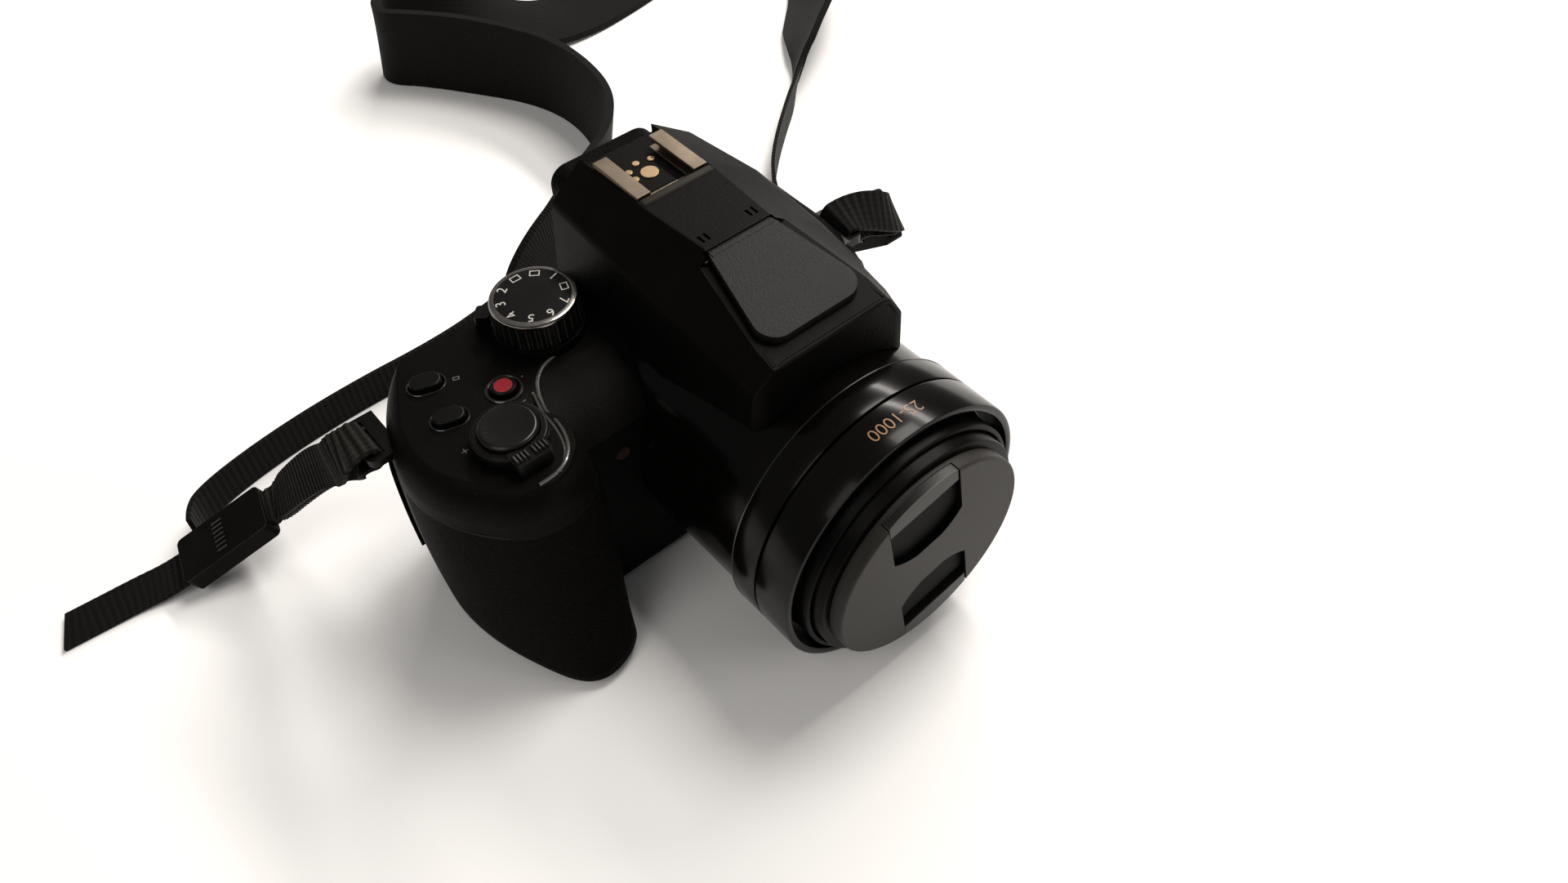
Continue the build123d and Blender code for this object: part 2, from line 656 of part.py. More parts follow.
def top_cover():
    """The top cover with its hump and every hole in it."""
    cover = upper_body() + hump()
    cover = cover - barrel(BASE_TUBE_R + CLEAR, -60, TUBE_REAR + 2)
    cover = cover - panel_slab(LID_EDGE + CLEAR, HINGE_Y) - flash_pocket()
    cover = cover - hinge_pin(FIT)
    cover = cover - shoe_well() + shoe_island()
    cover = cover - post(DIAL_X, DIAL_Y, SPINDLE_R, PLATE_TOP - 5, PLATE_TOP + 1)
    cover = cover - post(SHUTTER_X, SHUTTER_Y, SHUTTER_R - SHUTTER_STEM + CLEAR, PLATE_TOP - 5, PLATE_TOP + 1)
    cover = cover - post(MOVIE_X, MOVIE_Y, MOVIE_R + CLEAR, PLATE_TOP - 3, PLATE_TOP + 1)
    cover = cover - oval(BURST_X, BURST_Y, CLEAR, PLATE_TOP - 3, PLATE_TOP + 1)
    cover = cover - oval(FOCUS_X, FOCUS_Y, CLEAR, PLATE_TOP - 3, PLATE_TOP + 1)
    dial_slot = post(REAR_DIAL_X, REAR_DIAL_Y, REAR_DIAL_R + CLEAR, REAR_DIAL_LOW - CLEAR, REAR_DIAL_HIGH + CLEAR)
    cover = cover - dial_slot - eyepiece_tunnel()
    for x, z, radius in ((VIEW_X, VIEW_Z, BUTTON_R), (DIOPTER_X, DIOPTER_Z, DIOPTER_R - 1)):
        cover = cover - barrel(radius + CLEAR, HUMP_REAR - 3, HUMP_REAR + 3, x, z)
    for side in (-1, 1):
        for step in (-1, 1):
            x = LENS_X + side * 6.9 + step * 0.8
            cover = cover - block(x - 0.35, x + 0.35, MIC_Y + 1.6, MIC_Y + 4.2, HUMP_TOP - 1, HUMP_TOP + 1)
    return cover - lug_boxes()


def shoe_well():
    """The accessory shoe's sunk floor, open at the rear."""
    floor = SHOE_TOP - SHOE_SHEET - SHOE_HEIGHT - SHOE_PLATE
    half = SHOE_SLOT / 2 + SHOE_SHEET + 0.4
    return block(LENS_X - half, LENS_X + half, SHOE_Y - SHOE_LENGTH / 2 - 0.2, HUMP_REAR + 2, floor, SHOE_TOP + 2)


def shoe_island():
    """The raised floor in the middle of the shoe, which carries the contacts."""
    floor = SHOE_TOP - SHOE_SHEET - SHOE_HEIGHT
    front, rear = SHOE_Y - SHOE_LENGTH / 2, SHOE_Y + SHOE_LENGTH / 2
    return block(LENS_X - 5.8, LENS_X + 5.8, front + 3.2, rear, floor - SHOE_PLATE - 0.5, floor)


def shoe_rails():
    """The folded sheet-metal rails of the accessory shoe."""
    floor = SHOE_TOP - SHOE_SHEET - SHOE_HEIGHT
    front, rear = SHOE_Y - SHOE_LENGTH / 2, SHOE_Y + SHOE_LENGTH / 2
    outer = SHOE_SLOT / 2 + SHOE_SHEET
    plate = block(LENS_X - outer, LENS_X + outer, front, rear, floor - SHOE_PLATE, floor)
    rails = plate - block(LENS_X - 6, LENS_X + 6, front + 3, rear + 1, floor - 2, floor + 1)
    for side in (-1, 1):
        wall = sorted((LENS_X + side * SHOE_SLOT / 2, LENS_X + side * outer))
        lip = sorted((LENS_X + side * SHOE_MOUTH / 2, LENS_X + side * outer))
        rails = rails + block(*wall, front, rear, floor - SHOE_PLATE, SHOE_TOP)
        edge = block(*lip, front, rear, SHOE_TOP - SHOE_SHEET, SHOE_TOP)
        rails = rails + edge
    return rails


def shoe_contacts():
    """The centre contact and the four small ones beside it."""
    floor = SHOE_TOP - SHOE_SHEET - SHOE_HEIGHT
    places = [(0, 0.5, CONTACT_R)]
    places += [(-3.9, 3.6, SMALL_CONTACT_R), (-0.6, 5.4, SMALL_CONTACT_R)]
    places += [(3.4, 4.6, SMALL_CONTACT_R), (-4.2, 0.4, SMALL_CONTACT_R)]
    return Compound([post(LENS_X + x, SHOE_Y + y, r, floor, floor + CONTACT_RISE) for x, y, r in places])


def flash_head():
    """The pop-up flash: its panel, its knuckle and the lamp box under them."""
    lid = hump() & lid_prism() & panel_slab(LID_EDGE, HINGE_Y)
    knuckle = rod(KNUCKLE_R, LENS_X - KNUCKLE_HALF, LENS_X + KNUCKLE_HALF, HINGE_Y, HINGE_Z)
    inside = lamp_box(FLASH_SWING_R, 1.2) & block(-20, 60, -40, -8, FLASH_FLOOR + 1.2, FLASH_FLOOR + 8.4)
    head = lid + ((lamp_box(FLASH_SWING_R) & lid_prism()) - panel_slab(0, HINGE_Y)) + knuckle
    head = head - inside - flash_window()
    pin = rod(FLASH_PIN_R + PIN_RUNNING, LENS_X - 30, LENS_X + 30, HINGE_Y, HINGE_Z)
    return head - pin


def lamp_box(reach, wall=0.0):
    """The lamp box under the panel, with its front round the hinge axis."""
    swing = rod(reach, LENS_X - 40, LENS_X + 40, HINGE_Y, HINGE_Z)
    wide = FLASH_HALF - wall
    box = block(LENS_X - wide, LENS_X + wide, -30, HINGE_Y - 5.2, FLASH_FLOOR + wall, HINGE_Z - LID_EDGE + 1)
    return box & swing


def flash_window():
    """The ribbed window at the front of the lamp box."""
    ring = rod(FLASH_SWING_R, LENS_X - 40, LENS_X + 40, HINGE_Y, HINGE_Z)
    ring = ring - rod(FLASH_SWING_R - WINDOW_THICK, LENS_X - 41, LENS_X + 41, HINGE_Y, HINGE_Z)
    wide = FLASH_HALF - 1.2
    return ring & block(LENS_X - wide, LENS_X + wide, -40, -5, FLASH_FLOOR + 1.2, FLASH_FLOOR + 8.4)


def flash_tube():
    """The lamp tube, held between the box's cheeks."""
    half = FLASH_HALF - 1.2 - CLEAR
    return rod(FLASH_TUBE_R, LENS_X - half, LENS_X + half, -10.5, FLASH_FLOOR + 4.8)


def hinge_pin(longer=0.0):
    """The pin that the flash turns on, or its bore in the cover."""
    half = KNUCKLE_HALF + KNUCKLE_ROOM + PIN_SEAT + longer
    return rod(FLASH_PIN_R, LENS_X - half, LENS_X + half, HINGE_Y, HINGE_Z)


def mode_dial():
    """The fluted mode dial on its spindle."""
    dial = post(DIAL_X, DIAL_Y, DIAL_R, DIAL_BASE, DIAL_TOP)
    dial = fillet(dial.edges().filter_by(GeomType.CIRCLE).sort_by(Axis.Z)[-1], DIAL_ROUND)
    flutes = None
    for index in range(DIAL_FLUTES):
        turn = 360.0 * index / DIAL_FLUTES
        cut = Pos(DIAL_X, DIAL_Y, 0) * Rot(0, 0, turn) * block(
            DIAL_R - FLUTE_DEPTH, DIAL_R + 1, -FLUTE_HALF, FLUTE_HALF, DIAL_BASE - 1, DIAL_TOP - FLUTE_TOP
        )
        flutes = cut if flutes is None else flutes + cut
    return dial - flutes + post(DIAL_X, DIAL_Y, SPINDLE_R - CLEAR, PLATE_TOP - 4.5, DIAL_BASE + 0.5)


def power_lever():
    """The ring lever round the foot of the mode dial."""
    low, high = PLATE_TOP + CLEAR, DIAL_BASE - CLEAR
    ring = post(DIAL_X, DIAL_Y, LEVER_R, low, high)
    place = Pos(DIAL_X, DIAL_Y, 0) * Rot(0, 0, LEVER_ANGLE)
    tab = place * block(LEVER_R - 2, LEVER_REACH, -LEVER_HALF, LEVER_HALF, low, high)
    nub = place * block(LEVER_R + CLEAR, LEVER_REACH, -LEVER_HALF, LEVER_HALF, low, high + 2.6)
    nub = fillet(nub.edges().filter_by(Axis.Z), 0.9)
    return ring + tab + nub - post(DIAL_X, DIAL_Y, SPINDLE_R + FIT, low - 1, high + 1)


def shutter_button():
    """The two-stage shutter button, with a shallow dished top."""
    stem = SHUTTER_R - SHUTTER_STEM
    with BuildSketch(Plane.XZ) as sketch:
        with BuildLine():
            Polyline(
                (0, SHUTTER_TOP - SHUTTER_DISH),
                (SHUTTER_R - SHUTTER_RIM, SHUTTER_TOP),
                (SHUTTER_R, SHUTTER_TOP - SHUTTER_DISH),
                (SHUTTER_R, SHUTTER_FLANGE),
                (stem, SHUTTER_FLANGE),
                (stem, PLATE_TOP - 2),
                (0, PLATE_TOP - 2),
                close=True,
            )
        make_face()
    return Pos(SHUTTER_X, SHUTTER_Y, 0) * revolve(sketch.sketch, Axis.Z)


def zoom_lever():
    """The zoom ring round the shutter button, with its ribbed front tab."""
    low = PLATE_TOP + CLEAR
    ring = post(SHUTTER_X, SHUTTER_Y, ZOOM_RING_R, low, ZOOM_RING_TOP)
    ring = fillet(ring.edges().filter_by(GeomType.CIRCLE).sort_by(Axis.Z)[-1], 0.6)
    tab = block(-ZOOM_TAB_HALF, ZOOM_TAB_HALF, -ZOOM_TAB_REACH, -ZOOM_RING_R + 2.5, low, ZOOM_RING_TOP + 0.6)
    tab = fillet(tab.edges().filter_by(Axis.Z).sort_by(Axis.Y)[:2], 1.6)
    for index in range(-4, 5):
        if index:
            x = index * ZOOM_RIB_PITCH
            tab = tab + block(
                x - 0.25, x + 0.25, -ZOOM_TAB_REACH + 0.8, -SHUTTER_R - 0.9, ZOOM_RING_TOP, ZOOM_RING_TOP + 1.1
            )
    lever = ring + Pos(SHUTTER_X, SHUTTER_Y, 0) * tab
    bore = post(SHUTTER_X, SHUTTER_Y, SHUTTER_R + CLEAR, PLATE_TOP + 1.2, SHUTTER_TOP + 2)
    return lever - bore - post(SHUTTER_X, SHUTTER_Y, SHUTTER_R - SHUTTER_STEM + CLEAR, PLATE_TOP - 1, SHUTTER_TOP)


def movie_button():
    """The round movie button."""
    button = post(MOVIE_X, MOVIE_Y, MOVIE_R, PLATE_TOP - 2, MOVIE_TOP)
    return fillet(button.edges().filter_by(GeomType.CIRCLE).sort_by(Axis.Z)[-1], 0.5)


def oval_button(x, y):
    """One oval button of the top plate."""
    button = oval(x, y, 0, PLATE_TOP - 2, OVAL_TOP)
    return fillet(button.edges().group_by(Axis.Z)[-1], 0.5)


def rear_dial():
    """The thumb dial, which shows at the rear edge of the top cover."""
    dial = post(REAR_DIAL_X, REAR_DIAL_Y, REAR_DIAL_R, REAR_DIAL_LOW, REAR_DIAL_HIGH)
    flutes = None
    for index in range(REAR_DIAL_FLUTES):
        turn = 360.0 * index / REAR_DIAL_FLUTES
        cut = Pos(REAR_DIAL_X, REAR_DIAL_Y, 0) * Rot(0, 0, turn) * block(
            REAR_DIAL_R - FLUTE_DEPTH, REAR_DIAL_R + 1, -FLUTE_HALF, FLUTE_HALF,
            REAR_DIAL_LOW - 1, REAR_DIAL_HIGH + 1,
        )
        flutes = cut if flutes is None else flutes + cut
    return dial - flutes


def eyepiece_tunnel():
    """The eyepiece's place in the rear of the hump."""
    return block(
        LENS_X - TUNNEL_HALF, LENS_X + TUNNEL_HALF, HUMP_REAR - TUNNEL_DEPTH, HUMP_REAR + 1,
        EYECUP_Z - TUNNEL_HIGH, EYECUP_Z + TUNNEL_HIGH,
    )


def eyecup():
    """The rubber eyecup, a rounded frame round the eyepiece."""
    with BuildSketch(plane_y(HUMP_REAR)) as sketch:
        with Locations((LENS_X, EYECUP_Z)):
            RectangleRounded(EYECUP_WIDTH, EYECUP_HEIGHT, 5)
    frame = extrude(sketch.sketch, amount=-(EYECUP_REAR - HUMP_REAR))
    frame = fillet(frame.faces().sort_by(Axis.Y)[-1].edges(), 1.6)
    with BuildSketch(plane_y(HUMP_REAR)) as window:
        with Locations((LENS_X, EYECUP_Z)):
            RectangleRounded(EYECUP_WINDOW_W, EYECUP_WINDOW_H, 3)
    return frame - extrude(window.sketch, amount=-(EYECUP_REAR - HUMP_REAR + 1))


def viewfinder_unit():
    """The eyepiece lens and its block, set in the hump."""
    wide, high = TUNNEL_HALF - CLEAR, TUNNEL_HIGH - CLEAR
    return block(
        LENS_X - wide, LENS_X + wide, HUMP_REAR - TUNNEL_DEPTH + CLEAR, HUMP_REAR - CLEAR,
        EYECUP_Z - high, EYECUP_Z + high,
    )


def diopter_dial():
    """The eyesight correction wheel beside the eyecup."""
    wheel = barrel(DIOPTER_R, HUMP_REAR + CLEAR, DIOPTER_REAR, DIOPTER_X, DIOPTER_Z)
    wheel = wheel + barrel(DIOPTER_R - 1, HUMP_REAR - 2.5, HUMP_REAR + 1, DIOPTER_X, DIOPTER_Z)
    for index in range(DIOPTER_FLUTES):
        cut = Pos(DIOPTER_X, 0, DIOPTER_Z) * Rot(0, 360.0 * index / DIOPTER_FLUTES, 0) * block(
            DIOPTER_R - 0.3, DIOPTER_R + 1, HUMP_REAR, DIOPTER_REAR + 1, -0.3, 0.3
        )
        wheel = wheel - cut
    return wheel


def screen_glass():
    """The window over the screen."""
    half_w, half_h = SCREEN_WIDTH / 2 - FIT, SCREEN_HEIGHT / 2 - FIT
    return block(
        SCREEN_X - half_w, SCREEN_X + half_w, BODY_REAR - SCREEN_GLASS, BODY_REAR - 0.1,
        SCREEN_Z - half_h, SCREEN_Z + half_h,
    )


def screen_panel():
    """The display behind its window."""
    half_w, half_h = SCREEN_WIDTH / 2 - PANEL_MARGIN - FIT, SCREEN_HEIGHT / 2 - PANEL_MARGIN - FIT
    rear = BODY_REAR - SCREEN_GLASS
    return block(
        SCREEN_X - half_w, SCREEN_X + half_w, rear - PANEL_THICK + 0.4, rear - 0.1,
        SCREEN_Z - half_h, SCREEN_Z + half_h,
    )


def direction_pad():
    """The four-way pad, a ring round the set button."""
    pad = barrel(PAD_R, BODY_REAR - 3, BODY_REAR + BUTTON_RISE, PAD_X, PAD_Z)
    pad = fillet(pad.edges().filter_by(GeomType.CIRCLE).sort_by(Axis.Y)[-1], 0.6)
    return pad - barrel(SET_R + CLEAR, BODY_REAR - 4, BODY_REAR + 3, PAD_X, PAD_Z)


def lens_base():
    """The fixed lens tube with its rear plate."""
    inner = BASE_TUBE_R - TUBE_WALL
    pipe = tube(BASE_TUBE_R, inner, TUBE_FRONT, TUBE_REAR)
    plate = barrel(BASE_TUBE_R, TUBE_REAR - 2, TUBE_REAR)
    plate = plate - block(LENS_X - 13, LENS_X + 13, TUBE_REAR - 3, TUBE_REAR + 1, LENS_Z - 13, LENS_Z + 13)
    collar = tube(REAR_GROUP_R + 2.5, REAR_GROUP_R + FIT, TUBE_REAR - 2 - REAR_GROUP_LENGTH, TUBE_REAR - 2)
    return pipe + plate + collar


def smooth_route(route, steps=2):
    """Stations on the quadratic curve that the route's points draw."""
    points = [Vector(*place) for place, way in route]
    ways = [Vector(*way) for place, way in route]
    middles = [(a + b) * 0.5 for a, b in zip(points, points[1:])]
    turns = [(a + b) * 0.5 for a, b in zip(ways, ways[1:])]
    middles[0], turns[0] = points[0], ways[0]
    middles[-1], turns[-1] = points[-1], ways[-1]
    stations = [(points[0], ways[0], points[1] - points[0])]
    for index in range(1, len(points) - 1):
        for step in range(1, steps + 1):
            share = step / steps
            start, bend, end = (1 - share) ** 2, 2 * share * (1 - share), share ** 2
            place = middles[index - 1] * start + points[index] * bend + middles[index] * end
            way = turns[index - 1] * start + ways[index] * bend + turns[index] * end
            before, after = points[index] - middles[index - 1], middles[index] - points[index]
            stations.append((place, way, before * (1 - share) + after * share))
    return stations


def tightest(stations):
    """The smallest bend radius along the stations."""
    radii = []
    for (a, _, _), (b, _, _), (c, _, _) in zip(stations, stations[1:], stations[2:]):
        before, after = b - a, c - b
        turn = radians(before.get_angle(after))
        if turn > 0.001:
            radii.append((before.length + after.length) / 2 / turn)
    return min(radii) if radii else 0.0


def ribbon(name, route, thick, width_at, steps=2):
    """A flat strap along a route, lofted through rectangles."""
    stations = smooth_route(route, steps)
    print(name, "tightest bend radius", round(tightest(stations), 1), "mm")
    sections = []
    for index, (place, way, tangent) in enumerate(stations):
        tangent = tangent.normalized()
        across = (way - tangent * way.dot(tangent)).normalized()
        width = width_at(index / (len(stations) - 1))
        sections.append(Plane(origin=place, x_dir=across, z_dir=tangent) * Rectangle(width, thick))
    return loft(sections, ruled=True)


def web(name, route, steps=2):
    """Narrow webbing along a route."""
    return ribbon(name, route, WEB_THICK, lambda along: WEB_WIDTH, steps)


def loop(name, places, slider):
    """Webbing that runs from the slider, round the lug's bar and back into the slider."""
    apart = (WEB_THICK + PLY_GAP) / 2
    line = places + [(slider_end(slider, way), slider[2], apart) for way in (-1.3, -1, 0, 1)]
    near, far = [], []
    for index, (place, way, gap) in enumerate(line):
        before, after = line[max(index - 1, 0)][0], line[min(index + 1, len(line) - 1)][0]
        out = (Vector(*after) - Vector(*before)).cross(Vector(*way)).normalized() * gap
        near.append((tuple(Vector(*place) + out), way))
        far.append((tuple(Vector(*place) - out), way))
    return web(name, near[::-1] + far, 3)


def pad_width(along):
    """The shoulder pad's width, which tapers to the webbing at each end."""
    share = min(along, 1 - along) / PAD_TAPER
    return WEB_WIDTH + (PAD_WIDTH - WEB_WIDTH) * min(1.0, share)


def slider_plane(slider):
    """The frame of one slider: length along X, width along Y."""
    centre, along, across = (Vector(*part) for part in slider)
    along = along.normalized()
    across = (across - along * across.dot(along)).normalized()
    return Plane(origin=centre, x_dir=along, z_dir=along.cross(across))


def slider_block():
    """One strap slider, with its through slot and a window over the webbing."""
    body = Box(SLIDER_LENGTH, SLIDER_WIDTH, SLIDER_THICK)
    body = fillet(body.edges().filter_by(Axis.Z), 1.6)
    slot = Box(SLIDER_LENGTH + 2, WEB_WIDTH + 2 * CLEAR, 2 * WEB_THICK + PLY_GAP + 2 * CLEAR)
    window = Pos(0, 0, SLIDER_THICK / 2) * Box(SLIDER_LENGTH * 0.4, WEB_WIDTH, SLIDER_THICK)
    return body - slot - window


def slider_end(slider, way):
    """The middle of one end of a slider, just outside it."""
    centre, along, across = (Vector(*part) for part in slider)
    return tuple(centre + along.normalized() * (way * (SLIDER_LENGTH / 2 + CLEAR)))


def af_lamp():
    """The focus assist lamp in the front cover."""
    front = BODY_FRONT + AF_SINK
    return barrel(AF_R - FIT, front, front + AF_DEPTH, AF_X, AF_Z)


def rear_ring():
    """The plain ring behind the split line of the lens barrel."""
    ring = tube(RING_R, BASE_TUBE_R + FIT, RING_SPLIT + RING_GROOVE / 2, RING_REAR)
    return chamfer(ring.edges().filter_by(GeomType.CIRCLE).sort_by(SortBy.RADIUS)[-2:], 0.4)


def front_ring():
    """The front ring of the lens barrel, with its thin deep lip."""
    lip = tube(RING_R, RING_R - LIP_WALL, RING_FRONT, TUBE_FRONT - FIT)
    ring = tube(RING_R, BASE_TUBE_R + FIT, TUBE_FRONT - FIT, RING_SPLIT - RING_GROOVE / 2)
    return lip + ring


def outer_barrel():
    """The first zoom barrel, just inside the fixed tube."""
    rear = OUTER_BARREL_FRONT + OUTER_BARREL_LENGTH
    pipe = tube(OUTER_BARREL_R, OUTER_BARREL_R - BARREL_WALL, OUTER_BARREL_FRONT, rear)
    return chamfer(pipe.edges().filter_by(GeomType.CIRCLE).group_by(Axis.Y)[0].sort_by(SortBy.RADIUS)[-1], 0.5)


def inner_barrel():
    """The second zoom barrel, with the filter thread and the front lens seat."""
    front = INNER_BARREL_FRONT
    rear = front + INNER_BARREL_LENGTH
    pipe = tube(INNER_BARREL_R, INNER_BARREL_R - BARREL_WALL, front, rear)
    thread = tube(INNER_BARREL_R - 0.5, THREAD_R, front, front + THREAD_DEPTH)
    seat_front = front + THREAD_DEPTH
    seat = tube(INNER_BARREL_R - 0.5, FRONT_LENS_R + FIT, seat_front, seat_front + 6)
    stop = tube(INNER_BARREL_R - 0.5, FRONT_LENS_R - 1.6, seat_front + 6, seat_front + 8)
    return pipe + thread + seat + stop


def front_lens():
    """The front element, a glass disc with a domed front."""
    rear = INNER_BARREL_FRONT + THREAD_DEPTH + 6
    disc = barrel(FRONT_LENS_R, rear - FRONT_LENS_RIM, rear)
    dome_r = (FRONT_LENS_R ** 2 + FRONT_LENS_DOME ** 2) / (2 * FRONT_LENS_DOME)
    ball = Pos(LENS_X, rear - FRONT_LENS_RIM - FRONT_LENS_DOME + dome_r, LENS_Z) * Sphere(dome_r)
    cap = ball & barrel(FRONT_LENS_R, rear - FRONT_LENS_RIM - FRONT_LENS_DOME - 1, rear - 1)
    return disc + cap


def rear_group():
    """The rear lens cell, in the collar of the lens base."""
    rear = TUBE_REAR - 2
    return barrel(REAR_GROUP_R, rear - REAR_GROUP_LENGTH - 2, rear)


def sensor_unit():
    """The image sensor on its carrier, behind the lens."""
    half = SENSOR_SIZE / 2
    chip = block(LENS_X - half, LENS_X + half, TUBE_REAR - 2 + FIT, TUBE_REAR, LENS_Z - half, LENS_Z + half)
    carrier = block(
        LENS_X - half - 3, LENS_X + half + 3, TUBE_REAR, TUBE_REAR + SENSOR_DEPTH, LENS_Z - half - 2, LENS_Z + half + 2
    )
    return chip + carrier


def main_board():
    """The main circuit board, standing behind the sensor."""
    front = TUBE_REAR + SENSOR_DEPTH
    right = BODY_RIGHT - WALL - BAY_DEPTH - 2.5
    board = block(CARD_X + CARD_T / 2 + 7, right, front, front + 1.6, BAY_FLOOR, COVER_TOP - 4)
    chips = block(LENS_X - 8, LENS_X + 8, front + 1.6, front + 3.4, 28, 44)
    chips = chips + block(LENS_X - 32, LENS_X - 20, front + 1.6, front + 3, 26, 38)
    return board + chips + block(LENS_X + 16, LENS_X + 26, front + 1.6, front + 3, 18, 40)


def battery_door():
    """The battery and card door, cut from the base, with its hinge barrel."""
    axis_x = DOOR_HINGE_X - DOOR_BARREL_R
    plate = lower_body() & door_region() & block(DOOR_LEFT, axis_x, DOOR_FRONT, DOOR_REAR, 0, DOOR_BARREL_R * 2)
    hinge = barrel(DOOR_BARREL_R, DOOR_FRONT, DOOR_REAR, axis_x, DOOR_BARREL_R)
    room = latch_block(CLEAR, -1).fuse(latch_block(CLEAR, -1, LATCH_SLIDE))
    return plate + hinge - room


def latch_block(grow=0.0, low=LATCH_RISE, shift=0.0):
    """The battery door's latch, or its place."""
    left, half = DOOR_LEFT + LATCH_EDGE + shift, LATCH_L / 2
    return block(
        left - grow, left + LATCH_W + grow, BATTERY_Y - half - grow, BATTERY_Y + half + grow,
        low, LATCH_RISE + LATCH_T + (FIT if grow else 0),
    )


def battery_latch():
    """The small slide that locks the battery door, with three grip ribs."""
    latch = latch_block()
    left, half = DOOR_LEFT + LATCH_EDGE, LATCH_L / 2 - 1
    for step in (1, 2, 3):
        x = left + LATCH_W * step / 4
        latch = latch - block(x - 0.3, x + 0.3, BATTERY_Y - half, BATTERY_Y + half, 0, LATCH_RISE + 0.4)
    return latch


def tripod_bush():
    """The threaded tripod bush in the base."""
    bush = post(TRIPOD_X, TRIPOD_Y, BUSH_R - FIT, 0.1, BUSH_FLANGE)
    bush = bush + post(TRIPOD_X, TRIPOD_Y, BUSH_R - 1, BUSH_FLANGE, TRIPOD_DEPTH + 1.4)
    return bush - post(TRIPOD_X, TRIPOD_Y, TRIPOD_R, -1, TRIPOD_DEPTH)


def base_screws():
    """The screws that hold the covers together."""
    return Compound([post(x, y, SCREW_R - FIT, 0.5, 1.4) for x, y in SCREWS])


def port_door():
    """The connector door in the side wall, with a rounded front edge to turn on."""
    low, high = BAY_Z - BAY_HEIGHT / 2 - RIM + CLEAR, BAY_Z + BAY_HEIGHT / 2 + RIM - CLEAR
    edge = BAY_Y - BAY_LENGTH / 2 - RIM + CLEAR
    radius = PORT_DOOR_THICK / 2
    region = block(
        BODY_RIGHT - PORT_DOOR_THICK, BODY_RIGHT + 2,
        edge + radius, BAY_Y + BAY_LENGTH / 2 + RIM - CLEAR, low, high,
    )
    return (lower_body() & region) + post(BODY_RIGHT - radius, edge + radius, radius, low, high)


def port_sockets():
    """The connectors at the bottom of the bay."""
    back = BODY_RIGHT - BAY_DEPTH
    sockets = []
    for z, length, height in ((BAY_Z + 8.5, 4.2, 7.6), (BAY_Z - 1.5, 4.2, 6.6)):
        shell = block(back, back + 2.6, BAY_Y - length / 2, BAY_Y + length / 2, z - height / 2, z + height / 2)
        mouth = block(back + 0.8, back + 4, BAY_Y - length / 2 + 0.7, BAY_Y + length / 2 - 0.7,
                      z - height / 2 + 0.7, z + height / 2 - 0.7)
        sockets.append(shell - mouth)
    jack = rod(2.6, back, back + 2.6, BAY_Y, BAY_Z - 10.5) - rod(1.3, back + 0.8, back + 4, BAY_Y, BAY_Z - 10.5)
    return Compound(sockets + [jack])


def lug(side, y):
    """One strap lug: a flat eye with a long slot, sunk in the side wall."""
    wall = abs(GRIP_SIDE) - LUG_INSET
    reach = LUG_GAP + 2 * LUG_WIRE
    plate = block(wall - LUG_SINK, wall + reach, y - LUG_SLOT / 2 - LUG_WIRE, y + LUG_SLOT / 2 + LUG_WIRE,
                  LUG_Z - LUG_THICK / 2, LUG_Z + LUG_THICK / 2)
    plate = fillet(plate.edges().filter_by(Axis.Z).sort_by(Axis.X)[-2:], 2.4)
    slot = block(wall + LUG_WIRE, wall + LUG_WIRE + LUG_GAP, y - LUG_SLOT / 2, y + LUG_SLOT / 2, LUG_Z - 5, LUG_Z + 5)
    eye = plate - slot
    return eye if side > 0 else mirror(eye, Plane.YZ)


def lug_boxes():
    """The lugs' places in the top cover."""
    wall = abs(GRIP_SIDE) - LUG_INSET
    boxes = None
    for side, y in ((-1, RIGHT_LUG_Y), (1, LEFT_LUG_Y)):
        edges = sorted((side * (wall - LUG_SINK - 0.05), side * (wall + 8)))
        box = block(*edges, y - LUG_SLOT / 2 - LUG_WIRE - 0.05, y + LUG_SLOT / 2 + LUG_WIRE + 0.05,
                    LUG_Z - LUG_THICK / 2 - 0.05, LUG_Z + LUG_THICK / 2 + 0.05)
        boxes = box if boxes is None else boxes + box
    return boxes


def cap_place(shape):
    """Turns a cap piece about the lens axis and puts it there."""
    return Pos(LENS_X, 0, LENS_Z) * Rot(0, -CAP_TILT, 0) * shape


def cap_disc(radius, y0, y1):
    """A disc about Y."""
    return Pos(0, (y0 + y1) / 2, 0) * Rot(90, 0, 0) * Cylinder(radius, y1 - y0)


def latch_space(side, grow, travel=0.0):
    """One pinch latch's outline, or the slot that it slides in."""
    inner = CAP_R - LATCH_DEPTH - travel - grow
    edges = sorted((side * inner, side * (CAP_R + 2)))
    return block(-LATCH_HALF - grow, LATCH_HALF + grow, CAP_FACE - 1, INNER_BARREL_FRONT - CAP_FLOOR, *edges)


def recess_space(side):
    """The finger recess beside one latch, with a bowed inner edge."""
    edges = sorted((side * RECESS_INNER, side * (CAP_R - LATCH_DEPTH + 0.1)))
    space = block(-LATCH_HALF - CLEAR, LATCH_HALF + CLEAR, CAP_FACE - 1, CAP_FACE + 1.7, *edges)
    bow = Pos(0, 0, side * (RECESS_INNER + 14)) * cap_disc(14.5, CAP_FACE - 2, CAP_FACE + 3)
    return space & bow


def lens_cap():
    """The lens cap with its two finger recesses."""
    seat = INNER_BARREL_FRONT - 0.2
    cap = cap_disc(CAP_R, CAP_FACE, seat)
    cap = fillet(cap.edges().filter_by(GeomType.CIRCLE).sort_by(Axis.Y)[0], 0.8)
    cap = cap + cap_disc(THREAD_R - 0.4, seat, seat + CAP_PLUG)
    for side in (-1, 1):
        cap = cap - latch_space(side, CLEAR, PINCH_TRAVEL) - recess_space(side)
    return cap_place(cap)


